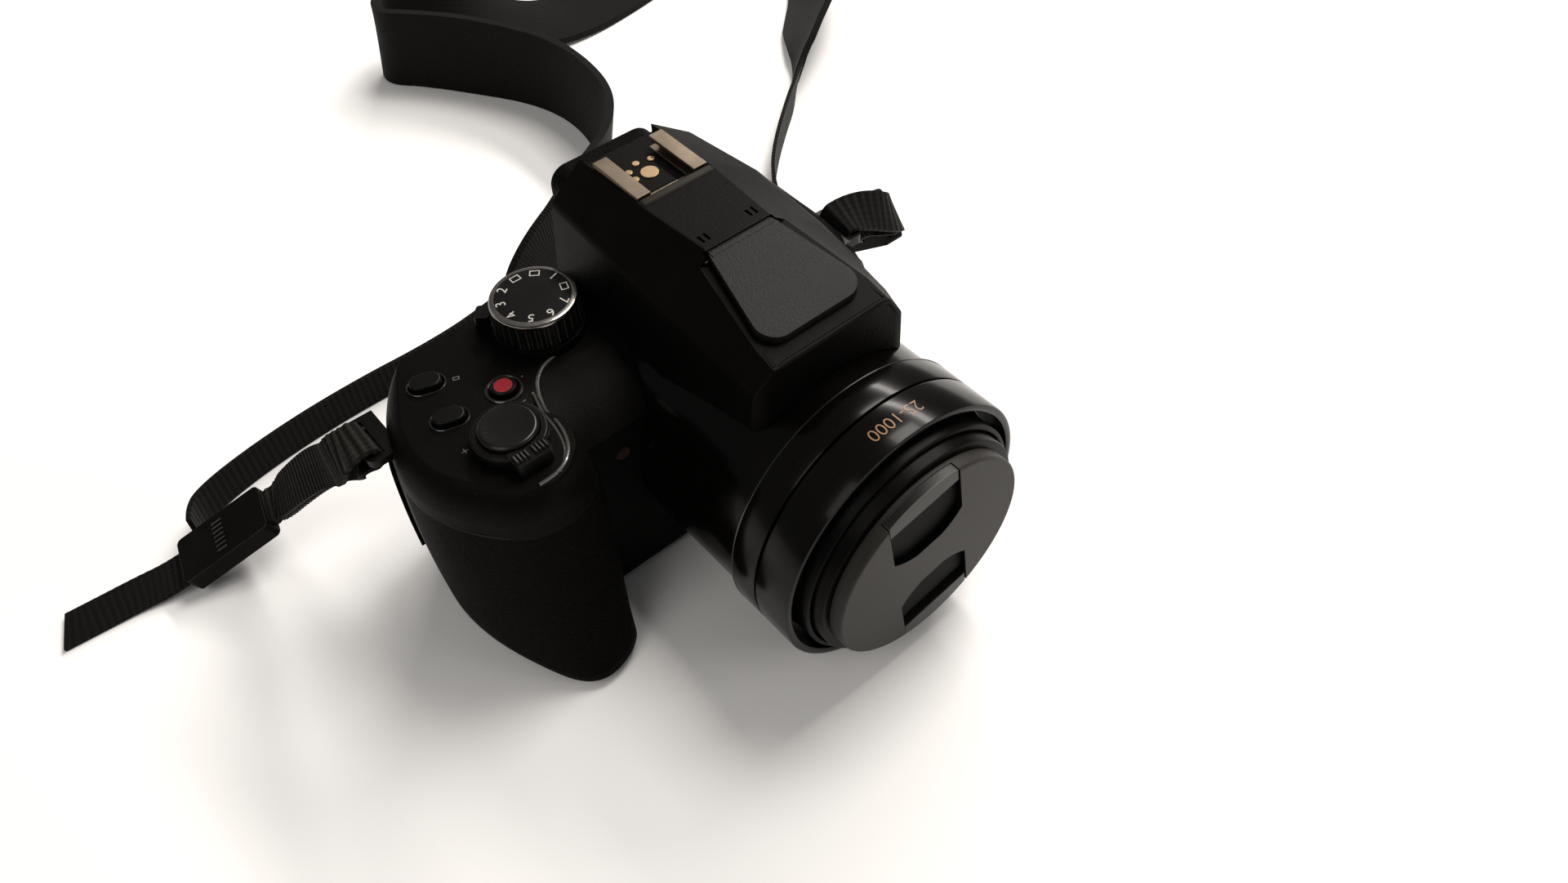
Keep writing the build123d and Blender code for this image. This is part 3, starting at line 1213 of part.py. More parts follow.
def cap_latch(side):
    """One pinch latch of the cap, with a rounded outer rim."""
    latch = latch_space(side, 0) & cap_disc(CAP_R, CAP_FACE + 0.2, INNER_BARREL_FRONT - CAP_FLOOR - 0.1)
    return cap_place(latch)


def main():
    os.makedirs("parts", exist_ok=True)
    front, rear, rubber, thumb = lower_covers()
    save("front_cover", front)
    save("rear_cover", rear)
    save("grip_rubber", rubber)
    save("thumb_rubber", thumb)
    save("top_cover", top_cover())
    save("hot_shoe_rails", shoe_rails())
    save("hot_shoe_contacts", shoe_contacts())
    save("flash_head", flash_head())
    save("flash_window", flash_window())
    save("flash_tube", flash_tube())
    save("flash_hinge_pin", hinge_pin())
    save("mode_dial", mode_dial())
    save("power_lever", power_lever())
    save("shutter_button", shutter_button())
    save("zoom_lever", zoom_lever())
    save("movie_button", movie_button())
    save("burst_button", oval_button(BURST_X, BURST_Y))
    save("focus_button", oval_button(FOCUS_X, FOCUS_Y))
    save("rear_dial", rear_dial())
    save("eyecup", eyecup())
    save("viewfinder_unit", viewfinder_unit())
    save("diopter_dial", diopter_dial())
    save("screen_glass", screen_glass())
    save("screen_panel", screen_panel())
    for node, (x, z) in REAR_BUTTONS.items():
        save(node, rear_button(x, z, BUTTON_R))
    save("view_button", rear_button(VIEW_X, VIEW_Z, BUTTON_R, HUMP_REAR - 2.5, HUMP_REAR + BUTTON_RISE))
    save("direction_pad", direction_pad())
    save("set_button", rear_button(PAD_X, PAD_Z, SET_R, BODY_REAR - 3, BODY_REAR + BUTTON_RISE + 0.3))
    save("lens_base", lens_base())
    save("rear_ring", rear_ring())
    save("front_ring", front_ring())
    save("outer_barrel", outer_barrel())
    save("inner_barrel", inner_barrel())
    save("front_lens", front_lens())
    save("rear_lens_group", rear_group())
    save("sensor_unit", sensor_unit())
    save("main_board", main_board())
    save("battery", battery_box())
    save("memory_card", card_box())
    save("battery_door", battery_door())
    save("battery_latch", battery_latch())
    save("tripod_bush", tripod_bush())
    save("base_screws", base_screws())
    save("port_door", port_door())
    save("port_sockets", port_sockets())
    save("strap_lugs", Compound([lug(-1, RIGHT_LUG_Y), lug(1, LEFT_LUG_Y)]))
    save("af_lamp", af_lamp())
    save("lens_cap", lens_cap())
    save("cap_latch_upper", cap_latch(1))
    save("cap_latch_lower", cap_latch(-1))
    sliders = [slider_plane(slider) * slider_block() for slider in (RIGHT_SLIDER, LEFT_SLIDER)]
    save("strap_sliders", Compound(sliders))
    save("strap_loop_right", loop("strap_loop_right", LOOP_RIGHT, RIGHT_SLIDER))
    save("strap_loop_left", loop("strap_loop_left", LOOP_LEFT, LEFT_SLIDER))
    right_mouth = (slider_end(RIGHT_SLIDER, 1.03), RIGHT_SLIDER[2])
    left_mouth = (slider_end(LEFT_SLIDER, 1.03), LEFT_SLIDER[2])
    save("strap_tail_right", web("strap_tail_right", [right_mouth] + TAIL_RIGHT))
    save("strap_run_right", web("strap_run_right", RUN_RIGHT))
    save("strap_run_left", web("strap_run_left", RUN_LEFT + [left_mouth]))
    save("strap_pad", ribbon("strap_pad", PAD, PAD_THICK, pad_width))


main()
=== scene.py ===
"""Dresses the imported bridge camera: finer forms, finishes, the neck strap, the stage and the view."""

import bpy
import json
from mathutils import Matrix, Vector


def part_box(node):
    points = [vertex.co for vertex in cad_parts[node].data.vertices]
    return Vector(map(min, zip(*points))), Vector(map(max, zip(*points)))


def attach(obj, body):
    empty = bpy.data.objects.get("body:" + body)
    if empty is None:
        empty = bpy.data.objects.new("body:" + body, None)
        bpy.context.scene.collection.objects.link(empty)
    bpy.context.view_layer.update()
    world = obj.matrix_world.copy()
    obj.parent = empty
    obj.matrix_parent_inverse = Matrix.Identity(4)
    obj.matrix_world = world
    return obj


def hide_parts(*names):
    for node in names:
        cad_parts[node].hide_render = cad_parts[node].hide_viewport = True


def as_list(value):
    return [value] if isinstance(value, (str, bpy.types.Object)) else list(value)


bl_info = {
    "name": "Bridge camera dresser",
    "version": (1, 0, 0),
    "blender": (4, 5, 0),
    "location": "3D View > Sidebar > Camera",
    "description": "Builds the forms and finishes of a bridge camera round its packed frame",
    "category": "Object",
}

import json
import math

import bmesh
import bpy
from bpy.props import FloatProperty, FloatVectorProperty, IntProperty, PointerProperty
from mathutils import Matrix, Vector
from mathutils.bvhtree import BVHTree

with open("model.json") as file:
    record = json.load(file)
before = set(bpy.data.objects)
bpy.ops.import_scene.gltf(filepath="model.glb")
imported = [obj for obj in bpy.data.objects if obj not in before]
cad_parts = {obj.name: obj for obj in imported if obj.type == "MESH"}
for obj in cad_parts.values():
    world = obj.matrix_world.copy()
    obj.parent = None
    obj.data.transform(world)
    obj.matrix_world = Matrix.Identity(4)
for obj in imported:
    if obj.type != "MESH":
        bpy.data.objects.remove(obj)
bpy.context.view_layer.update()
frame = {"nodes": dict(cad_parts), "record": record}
MM = 0.001
BODY_OF = {node: body for body, nodes in frame["record"]["behaviour"]["bodies"].items() for node in nodes}
SLOT_OF = {part["node"]: part["material_slot"] for part in frame["record"]["subparts"]}


# ---- sizes and colours a user would change


def measure(name, description, default):
    """A length setting in metres."""
    return FloatProperty(name=name, description=description, unit="LENGTH", default=default)


def tint(name, description, default):
    """A colour setting."""
    return FloatVectorProperty(
        name=name, description=description, subtype="COLOR", size=3, min=0.0, max=1.0, default=default,
    )


class BodySettings(bpy.types.PropertyGroup):
    """The body's finish."""

    color: tint("Body colour", "Colour of the moulded covers", (0.0021, 0.0018, 0.0015))
    edge_radius: measure("Edge radius", "Rounding of the moulded edges", 0.0002)


class LensSettings(bpy.types.PropertyGroup):
    """The lens barrel's places in the frame."""

    axis_x: measure("Axis X", "Lens axis across the body", 0.020)
    axis_z: measure("Axis Z", "Lens axis above the table", 0.0374)
    steps: IntProperty(name="Steps", description="Segments round the barrel", default=160, min=24)


class StrapSettings(bpy.types.PropertyGroup):
    """The neck strap's cross-sections."""

    web_width: measure("Webbing width", "Width of the webbing", 0.011)
    web_thick: measure("Webbing", "Webbing thickness", 0.0013)
    pad_width: measure("Pad width", "Width of the pad", 0.033)
    pad_thick: measure("Pad", "Pad thickness", 0.0026)
    rib_pitch: measure("Rib pitch", "Distance of the ribs", 0.0020)


class StageSettings(bpy.types.PropertyGroup):
    """The floor and the camera."""

    focal: FloatProperty(name="Focal length", description="Lens of the view in mm", default=26.886)
    floor_color: tint("Floor", "Colour of the floor", (0.93, 0.925, 0.92))


# ---- node helpers


def tree_of(material):
    """A material's node tree, emptied down to its shader and output."""
    material.use_nodes = True
    tree = material.node_tree
    tree.nodes.clear()
    output = tree.nodes.new("ShaderNodeOutputMaterial")
    shader = tree.nodes.new("ShaderNodeBsdfPrincipled")
    tree.links.new(shader.outputs["BSDF"], output.inputs["Surface"])
    return tree, shader


def add(tree, kind, links=(), **values):
    """A node with its properties set and its inputs filled or linked."""
    node = tree.nodes.new(kind)
    for key, value in values.items():
        setattr(node, key, value)
    for socket, value in dict(links).items():
        if isinstance(value, bpy.types.NodeSocket):
            tree.links.new(value, node.inputs[socket])
        else:
            node.inputs[socket].default_value = value
    return node


def sum_of(tree, operation, a, b=0.5):
    """The result of one sum on one or two values."""
    return add(tree, "ShaderNodeMath", {0: a, 1: b}, operation=operation).outputs[0]


def plus(tree, a, b):
    """Two values added."""
    return sum_of(tree, "ADD", a, b)


def times(tree, a, b):
    """Two values multiplied."""
    return sum_of(tree, "MULTIPLY", a, b)


def ranged(tree, value, low=0.0, high=1.0, to_low=0.0, to_high=1.0, **more):
    """A value led from one range to another."""
    return add(tree, "ShaderNodeMapRange", {0: value, 1: low, 2: high, 3: to_low, 4: to_high}, **more).outputs[0]


def object_place(tree):
    """The place on the piece, in its own coordinates."""
    return add(tree, "ShaderNodeTexCoord").outputs["Object"]


def noise(tree, place, scale, detail, **more):
    """A noise's value."""
    return add(tree, "ShaderNodeTexNoise", {"Vector": place, "Scale": scale, "Detail": detail, **more}).outputs[0]


def mixed(tree, factor, a, b, blend="MIX"):
    """A colour mixed from two."""
    return add(tree, "ShaderNodeMix", {0: factor, 6: a, 7: b}, data_type="RGBA", blend_type=blend).outputs[2]


def shaded(tree, color, tone):
    """A colour times a grey."""
    grey = add(tree, "ShaderNodeCombineColor", {0: tone, 1: tone, 2: tone})
    return mixed(tree, 1.0, color, grey.outputs[0], "MULTIPLY")


def rgba(color):
    """A colour with full alpha."""
    return (*color[:3], 1.0)


def group_of(name, numbers, colors=(), vectors=()):
    """A new shader group for a colour, a roughness and a normal, what it is given, and the place on the piece."""
    group = bpy.data.node_groups.new(name, "ShaderNodeTree")
    for kind, labels, result in (
        ("Color", ("Color", *colors), "Color"), ("Float", ("Roughness", *numbers), "Roughness"),
        ("Vector", vectors, "Normal"),
    ):
        for label in labels:
            group.interface.new_socket(label, in_out="INPUT", socket_type="NodeSocket" + kind)
        group.interface.new_socket(result, in_out="OUTPUT", socket_type="NodeSocket" + kind)
    return group, group.nodes.new("NodeGroupInput").outputs, object_place(group)


def closed(group, color, rough, height, depth):
    """The group with its results led out, the height as a bumped normal."""
    outside = group.nodes.new("NodeGroupOutput")
    bump = add(group, "ShaderNodeBump", {"Height": height, "Distance": depth})
    for label, value in (("Color", color), ("Roughness", rough), ("Normal", bump.outputs[0])):
        group.links.new(value, outside.inputs[label])
    return group


def moulded_group():
    """Fine moulded grain, slow colour change, edge wear with a painted edge highlight, and dust."""
    group, given, place = group_of("moulded_surface", ("Grain Scale", "Grain Depth", "Wear and Highlight"), colors=("Worn and Lit Color",))
    grain = noise(group, place, given["Grain Scale"], 2.0)
    slow = noise(group, place, 70.0, 4.0, Roughness=0.6)
    speck = ranged(group, noise(group, place, 1500.0, 1.0), 0.70, 0.78, 0.0, 0.35)
    edge = add(group, "ShaderNodeAttribute", attribute_name="edge_wear_and_highlight").outputs["Fac"]
    # The rounded edges take the lighter worn colour: partly wear, partly a painted highlight along the edges.
    worn_and_lit = times(group, times(group, edge, ranged(group, slow, 0.35, 0.65, 0.25, 1.0)), given["Wear and Highlight"])
    toned = shaded(group, given["Color"], ranged(group, slow, 0.3, 0.7, 0.75, 1.25))
    dusty = mixed(group, times(group, speck, 0.10), toned, (0.12, 0.115, 0.11, 1))
    rough = plus(group, given["Roughness"], times(group, slow, 0.12))
    rough = sum_of(group, "SUBTRACT", rough, times(group, worn_and_lit, 0.15))
    return closed(group, mixed(group, worn_and_lit, dusty, given["Worn and Lit Color"]), rough, grain, given["Grain Depth"])


def leather_group():
    """The pebbled cells of moulded rubber."""
    group, given, place = group_of("pebbled_rubber", ("Cell Scale", "Depth"))
    warp = add(group, "ShaderNodeTexNoise", {"Vector": place, "Scale": 500.0, "Detail": 2.0}).outputs["Color"]
    warped = {"Vector": mixed(group, 0.0012, place, warp, "ADD"), "Scale": given["Cell Scale"]}
    cells = add(group, "ShaderNodeTexVoronoi", warped, feature="DISTANCE_TO_EDGE")
    crown = ranged(group, cells.outputs["Distance"], 0.0, 0.22, interpolation_type="SMOOTHSTEP")
    slow = noise(group, place, 60.0, 4.0)
    # Darker towards the cell edges: painted shade in the grooves between the pebbles.
    tone = times(group, ranged(group, slow, 0.3, 0.7, 0.75, 1.3), ranged(group, crown, 0.0, 1.0, 0.55, 1.0))
    rough = plus(group, given["Roughness"], times(group, slow, 0.12))
    return closed(group, shaded(group, given["Color"], tone), rough, crown, given["Depth"])


def weave_group():
    """Woven webbing on a strap's own map: ribs across it, fine yarns along it, with a painted highlight on the crests
    and painted shade in the grooves.
    """
    group, given, place = group_of("woven_strap", ("Rib Pitch", "Yarn Pitch", "Depth"), colors=("Lit Thread Color",))
    split = add(group, "ShaderNodeSeparateXYZ", {0: add(group, "ShaderNodeUVMap", uv_map="strap").outputs[0]})
    ribs, yarns = (
        sum_of(group, "SINE", times(group, sum_of(group, "DIVIDE", split.outputs[index], given[pitch]), 2 * math.pi))
        for index, pitch in ((0, "Rib Pitch"), (1, "Yarn Pitch"))
    )
    height = plus(group, ribs, times(group, yarns, 0.22))
    height = plus(group, height, times(group, noise(group, place, 2600.0, 3.0), 0.7))
    tone = ranged(group, height, -0.8, 1.5)
    patch = ranged(group, noise(group, place, 45.0, 3.0), 0.3, 0.7, 0.5, 1.0)
    # The crests take the lighter thread colour and the grooves the dark base: partly the yarn's tone, partly a painted
    # highlight on the crests and painted shade in the grooves.
    color = mixed(group, times(group, tone, patch), given["Color"], given["Lit Thread Color"])
    return closed(group, color, ranged(group, tone, 0.0, 1.0, 0.92, 0.7), height, given["Depth"])


def brushed_group():
    """Metal with fine scratches along Y and a slow change of tone."""
    group, given, place = group_of("brushed_metal", (), vectors=("Scratch",))
    drawn = add(group, "ShaderNodeVectorMath", {0: place, 1: given["Scratch"]}, operation="MULTIPLY").outputs[0]
    lines = noise(group, drawn, 1.0, 3.0)
    shade = ranged(group, noise(group, place, 160.0, 3.0), 0.3, 0.7, 0.78, 1.1)
    rough = plus(group, given["Roughness"], times(group, lines, 0.18))
    return closed(group, shaded(group, given["Color"], shade), rough, lines, 0.00001)


def turned_group():
    """Metal turned on a lathe: fine rings round an upright axis."""
    group, given, place = group_of("turned_metal", ("Ring Scale", "Depth"), vectors=("Centre",))
    centred = add(group, "ShaderNodeVectorMath", {0: place, 1: given["Centre"]}, operation="SUBTRACT").outputs[0]
    wave = {"Vector": centred, "Scale": given["Ring Scale"], "Distortion": 0.6, "Detail": 2.0}
    rings = add(group, "ShaderNodeTexWave", wave, wave_type="RINGS", rings_direction="Z").outputs["Fac"]
    shade = ranged(group, noise(group, place, 240.0, 3.0), 0.3, 0.7, 0.8, 1.15)
    rough = plus(group, given["Roughness"], times(group, rings, 0.08))
    return closed(group, shaded(group, given["Color"], shade), rough, rings, given["Depth"])


# ---- finishes


GROUPS = {}
MATERIALS = {}
SOFT_SHINE = 0.045
LONG_SCRATCH = (1800.0, 90.0, 1800.0)


def effect_material(name, maker, values, shader_values):
    """A material whose colour, roughness and normal come from one shared effect, built once."""
    if maker not in GROUPS:
        GROUPS[maker] = maker()
    material = bpy.data.materials.new(name)
    tree, shader = tree_of(material)
    node = tree.nodes.new("ShaderNodeGroup")
    node.node_tree = GROUPS[maker]
    for label, value in values.items():
        node.inputs[label].default_value = value
    for target, source in (("Base Color", "Color"), ("Roughness", "Roughness"), ("Normal", "Normal")):
        tree.links.new(node.outputs[source], shader.inputs[target])
    for label, value in shader_values.items():
        shader.inputs[label].default_value = value
    return material


def moulded(
    name, color, rough, worn_and_lit=(0.06, 0.058, 0.055), scale=2400.0, depth=3e-5, wear_and_highlight=0.4, shine=0.5, coat=0.0,
    coat_rough=0.08,
):
    """A moulded plastic."""
    values = {
        "Color": rgba(color), "Worn and Lit Color": rgba(worn_and_lit), "Roughness": rough, "Grain Scale": scale,
        "Grain Depth": depth, "Wear and Highlight": wear_and_highlight,
    }
    shader_values = {"Specular IOR Level": shine, "Coat Weight": coat, "Coat Roughness": coat_rough}
    return effect_material(name, moulded_group, values, shader_values)


def brushed(name, color, rough, scratch=LONG_SCRATCH):
    """A brushed or turned metal."""
    values = {"Color": rgba(color), "Roughness": rough, "Scratch": scratch}
    return effect_material(name, brushed_group, values, {"Metallic": 1.0})


def webbing(name, color, lit_thread, rib, yarn, depth):
    """Woven webbing."""
    values = {"Color": rgba(color), "Lit Thread Color": rgba(lit_thread), "Rib Pitch": rib, "Yarn Pitch": yarn, "Depth": depth}
    shader_values = {"Sheen Weight": 0.06, "Sheen Roughness": 0.4, "Specular IOR Level": 0.12}
    return effect_material(name, weave_group, values, shader_values)


def glass(name, color, rough=0.03, transmission=1.0):
    """Clear or tinted glass with faint smears."""
    material = bpy.data.materials.new(name)
    tree, shader = tree_of(material)
    smear = noise(tree, object_place(tree), 120.0, 4.0)
    smeared = shaded(tree, rgba(color), ranged(tree, smear, 0.0, 1.0, 0.85, 1.0))
    tree.links.new(smeared, shader.inputs["Base Color"])
    tree.links.new(ranged(tree, smear, 0.0, 1.0, rough, rough + 0.08), shader.inputs["Roughness"])
    shader.inputs["Transmission Weight"].default_value = transmission
    shader.inputs["IOR"].default_value = 1.5
    return material


# Each worn colour lights the rounded edges: partly wear, partly a painted edge highlight.
PLASTICS = {
    "body_plastic": (None, 0.44, dict(scale=2100.0, depth=6e-5, wear_and_highlight=0.35, shine=SOFT_SHINE)),
    # Lighter than the body plastic: a painted sheen on the flash's top panel.
    "flash_panel": ((0.0050, 0.0044, 0.0037), 0.42, dict(
        worn_and_lit=(0.070, 0.064, 0.056), scale=1900.0, depth=8e-5, wear_and_highlight=0.9, shine=0.12,
    )),
    "control_plastic": ((0.0020, 0.0018, 0.0015), 0.30, dict(depth=2e-5, wear_and_highlight=0.7, shine=0.14)),
    # Light grey on beads of black plastic: a painted highlight along their crests.
    "bead_gloss": ((0.036, 0.033, 0.029), 0.18, dict(depth=3e-6, wear_and_highlight=0.0, shine=1.0, coat=1.0)),
    "ring_gloss": ((0.0035, 0.0030, 0.0025), 0.16, dict(depth=3e-6, wear_and_highlight=0.0, shine=0.6, coat=0.4)),
    "lip_plastic": ((0.024, 0.021, 0.018), 0.42, dict(worn_and_lit=(0.09, 0.08, 0.07), wear_and_highlight=0.9, shine=SOFT_SHINE)),
    "lens_gloss": ((0.0018, 0.0015, 0.0012), 0.13, dict(
        worn_and_lit=(0.075, 0.066, 0.055), depth=3e-6, wear_and_highlight=0.8, shine=0.12, coat=0.05, coat_rough=0.06,
    )),
    "zoom_barrel": ((0.0024, 0.0022, 0.0020), 0.28, dict(
        worn_and_lit=(0.05, 0.045, 0.04), depth=1.5e-5, wear_and_highlight=0.7, shine=SOFT_SHINE,
    )),
    "cap_plastic": ((0.0195, 0.0172, 0.0150), 0.46, dict(worn_and_lit=(0.10, 0.09, 0.078), depth=6e-5, wear_and_highlight=0.55, shine=0.2)),
    "latch_black": ((0.0045, 0.0040, 0.0035), 0.34, dict(worn_and_lit=(0.11, 0.095, 0.08), wear_and_highlight=0.7, shine=0.25)),
    # Near black: painted shade inside the lens cap's recesses.
    "recess_black": ((0.0012, 0.0011, 0.0010), 0.5, dict(wear_and_highlight=0.0, shine=SOFT_SHINE)),
    "slider_plastic": ((0.0030, 0.0027, 0.0024), 0.36, dict(wear_and_highlight=0.5, shine=SOFT_SHINE)),
    "latch_plastic": ((0.05, 0.05, 0.05), 0.45, {}),
    "battery": ((0.03, 0.03, 0.033), 0.5, {}),
    "memory_card": ((0.012, 0.02, 0.07), 0.45, {}),
    "lens_cell": ((0.01, 0.01, 0.01), 0.6, {}),
    "sensor": ((0.03, 0.04, 0.036), 0.2, {}),
    "circuit_board": ((0.01, 0.08, 0.035), 0.4, {}),
    "display": ((0.004, 0.004, 0.006), 0.12, dict(depth=2e-6, wear_and_highlight=0.0)),
    "movie_red": ((0.21, 0.008, 0.014), 0.24, dict(worn_and_lit=(0.24, 0.04, 0.05), depth=1e-5)),
    "paint_white": ((0.42, 0.40, 0.37), 0.5, dict(depth=2e-6, wear_and_highlight=0.0)),
    "paint_gold": ((0.27, 0.135, 0.058), 0.4, dict(depth=2e-6, wear_and_highlight=0.0)),
    "paint_grey": ((0.08, 0.075, 0.068), 0.5, dict(depth=2e-6, wear_and_highlight=0.0)),
}
METALS = {
    "shoe_steel": ((0.175, 0.138, 0.102), 0.36),
    "steel": ((0.40, 0.39, 0.37), 0.3),
    "socket_steel": ((0.42, 0.42, 0.44), 0.25),
    "contact_gold": ((0.36, 0.25, 0.145), 0.28, (900.0, 900.0, 900.0)),
    "lug_steel": ((0.020, 0.0185, 0.017), 0.30, (1500.0, 200.0, 1500.0)),
    "dial_chrome": ((0.34, 0.32, 0.30), 0.14, (700.0, 700.0, 2000.0)),
}
WEBBINGS = {
    # Rows: base colour, the lighter crest colour (partly yarn tone, partly a painted highlight), rib pitch, yarn
    # pitch, depth.
    "webbing": ((0.0014, 0.0012, 0.0010), (0.0170, 0.0140, 0.0105), 0.0020, 0.0009, 0.00012),
    "webbing_plain": ((0.0016, 0.0013, 0.0010), (0.0030, 0.0025, 0.0020), 0.0020, 0.0009, 0.00006),
    "pad_fabric": ((0.0017, 0.0014, 0.0012), (0.0036, 0.0030, 0.0024), 0.0009, 0.0009, 0.00006),
}
GLASSES = {
    "flash_window": ((0.55, 0.56, 0.6), 0.1),
    "flash_tube": ((0.9, 0.9, 0.85), 0.05),
    "viewfinder_glass": ((0.03, 0.03, 0.05), 0.03, 0.3),
    "screen_glass": ((0.01, 0.01, 0.012), 0.03, 0.2),
    "lens_glass": ((0.25, 0.28, 0.4), 0.02, 0.8),
    "lamp_lens": ((0.030, 0.008, 0.006), 0.08, 0.2),
}


def make_materials():
    """Every finish, named for its record slot."""
    for name, (color, rough, more) in PLASTICS.items():
        MATERIALS[name] = moulded(name, color or bpy.context.scene.camera_body.color, rough, **more)
    for maker, table in ((brushed, METALS), (webbing, WEBBINGS), (glass, GLASSES)):
        for name, values in table.items():
            MATERIALS[name] = maker(name, *values)
    rubber = {"Color": (0.0023, 0.0018, 0.0014, 1), "Roughness": 0.56, "Cell Scale": 950.0, "Depth": 0.00010}
    MATERIALS["grip_rubber"] = effect_material("grip_rubber", leather_group, rubber, {"Specular IOR Level": 0.035})
    turning = {
        "Color": (0.010, 0.009, 0.008, 1), "Roughness": 0.24, "Centre": (SHUTTER_X * MM, SHUTTER_Y * MM, 0.0),
        "Ring Scale": 900.0, "Depth": 0.000006,
    }
    MATERIALS["shutter_metal"] = effect_material("shutter_metal", turned_group, turning, {"Metallic": 0.6})


# ---- mesh helpers


SMOOTH_ANGLE, SHARP_ANGLE, FLAT_ANGLE = (math.radians(angle) for angle in (32.0, 34.0, 0.08))
SAME_PLACE, SAME_POINT = 1e-6, 1e-7
ABOVE_ALL, SHEET_LIFT, MARK_LINE, OVAL_STEPS = 200.0, 0.03, 0.25, 20


def finish_mesh(name, bm, materials, smooth=SMOOTH_ANGLE):
    """A linked object from a bmesh, smooth apart from its sharp edges."""
    mesh = bpy.data.meshes.new(name)
    bm.to_mesh(mesh)
    bm.free()
    for material in materials:
        mesh.materials.append(MATERIALS[material])
    obj = bpy.data.objects.new(name, mesh)
    bpy.context.scene.collection.objects.link(obj)
    mesh.shade_smooth()
    mesh.set_sharp_from_angle(angle=smooth)
    return obj


def cleaned(bm):
    """The bmesh with its doubled points joined and its faces turned outwards."""
    bmesh.ops.remove_doubles(bm, verts=bm.verts, dist=SAME_POINT)
    bmesh.ops.recalc_face_normals(bm, faces=bm.faces)
    return bm


def settle(obj, body, nodes=()):
    """Puts a piece on its body and hides the nodes that it stands for."""
    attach(obj, body)
    if nodes:
        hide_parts(*nodes)
    return obj


def merged_copy(node):
    """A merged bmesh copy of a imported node, without the seams between its flat triangles."""
    bm = bmesh.new()
    bm.from_mesh(frame["nodes"][node].data)
    bmesh.ops.remove_doubles(bm, verts=bm.verts, dist=SAME_PLACE)
    bmesh.ops.dissolve_limit(bm, angle_limit=FLAT_ANGLE, verts=bm.verts, edges=bm.edges)
    return bm


def soften(bm, width):
    """Rounds the sharp edges and marks the new faces for edge wear and a painted edge highlight."""
    # These faces later take the lighter worn colour, partly wear and partly a painted edge highlight.
    wear_and_highlight = bm.faces.layers.float.new("edge_wear_and_highlight")
    edges = [edge for edge in bm.edges if edge.is_manifold and edge.calc_face_angle(0) > SHARP_ANGLE]
    made = bmesh.ops.bevel(
        bm, geom=edges, offset=width, offset_type="OFFSET", segments=2, profile=0.5, affect="EDGES", material=-1,
        clamp_overlap=True,
    )
    for face in made["faces"]:
        face[wear_and_highlight] = 1.0


def refined(node, material=None, width=None, accent=None, accented=None):
    """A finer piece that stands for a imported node: rounded edges and perhaps an accent on some faces."""
    bm = merged_copy(node)
    soften(bm, width or bpy.context.scene.camera_body.edge_radius)
    if accent:
        for face in bm.faces:
            face.material_index = int(accented(face))
    obj = finish_mesh(f"{node}_piece", bm, [material or SLOT_OF[node]] + [accent] * bool(accent))
    obj.modifiers.new("even_shading", "WEIGHTED_NORMAL").keep_sharp = True
    return settle(obj, BODY_OF[node], [node])


def surface_of(node):
    """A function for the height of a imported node's upper side at a place in plan, all in mm."""
    bm = merged_copy(node)
    tree = BVHTree.FromBMesh(bm)
    bm.free()

    def height(x, y):
        return tree.ray_cast(Vector((x, y, ABOVE_ALL)) * MM, Vector((0, 0, -1)))[0].z / MM

    return height


def nurbs(points, resolution=8, cyclic=False):
    """A smooth curve along points in mm."""
    curve = bpy.data.curves.new("line", "CURVE")
    curve.dimensions = "3D"
    curve.resolution_u = resolution
    spline = curve.splines.new("NURBS")
    spline.points.add(len(points) - 1)
    for target, point in zip(spline.points, points):
        target.co = (*(value * MM for value in point), 1.0)
    spline.order_u = 3
    spline.use_cyclic_u = cyclic
    spline.use_endpoint_u = not cyclic
    return curve


def meshed(data):
    """The plain mesh of a curve or a text."""
    holder = bpy.data.objects.new("holder", data)
    mesh = bpy.data.meshes.new_from_object(holder)
    bpy.data.objects.remove(holder)
    return mesh


def filled(mesh):
    """A cleaned bmesh of a mesh that isn't kept."""
    bm = bmesh.new()
    bm.from_mesh(mesh)
    bpy.data.meshes.remove(mesh)
    return cleaned(bm)


def bead(name, points, radius, material, cyclic=False, body="camera_body"):
    """A thin raised bead of round section along a smooth line of points in mm."""
    curve = nurbs(points, cyclic=cyclic)
    curve.bevel_depth = radius * MM
    curve.bevel_resolution = 3
    curve.use_fill_caps = True
    return settle(finish_mesh(name, filled(meshed(curve)), [material]), body)


def oval_line(x, y, z, length, width, turn=0.0):
    """Points round an oval with straight sides, lying flat."""
    angle = math.radians(turn)
    points = []
    for step in range(OVAL_STEPS):
        way = 2 * math.pi * step / OVAL_STEPS
        along = math.copysign((length - width) / 2, math.cos(way)) + width / 2 * math.cos(way)
        across = width / 2 * math.sin(way)
        points.append((
            x + along * math.cos(angle) - across * math.sin(angle),
            y + along * math.sin(angle) + across * math.cos(angle), z,
        ))
    return points


def framed(place, x, y, z):
    """The placing of a thing whose own axes point these three ways."""
    return Matrix.Translation(place) @ Matrix((x, y, z)).transposed().to_4x4()


def facing(centre, right, normal):
    """The placing of a flat mark: its middle in mm, the way it reads and the way it faces."""
    x, z = Vector(right).normalized(), Vector(normal)
    return framed(Vector(centre) * MM, x, z.cross(x), z)


def sign_mesh(text, size, weight=0.0):
    """The thin raised mesh of a few plain characters, standing at the origin."""
    font = bpy.data.curves.new("sign", "FONT")
    font.body = text
    font.size = size * MM
    font.extrude = SHEET_LIFT * MM
    font.offset = size * MM * weight
    font.align_x = "CENTER"
    font.align_y = "CENTER"
    return meshed(font)


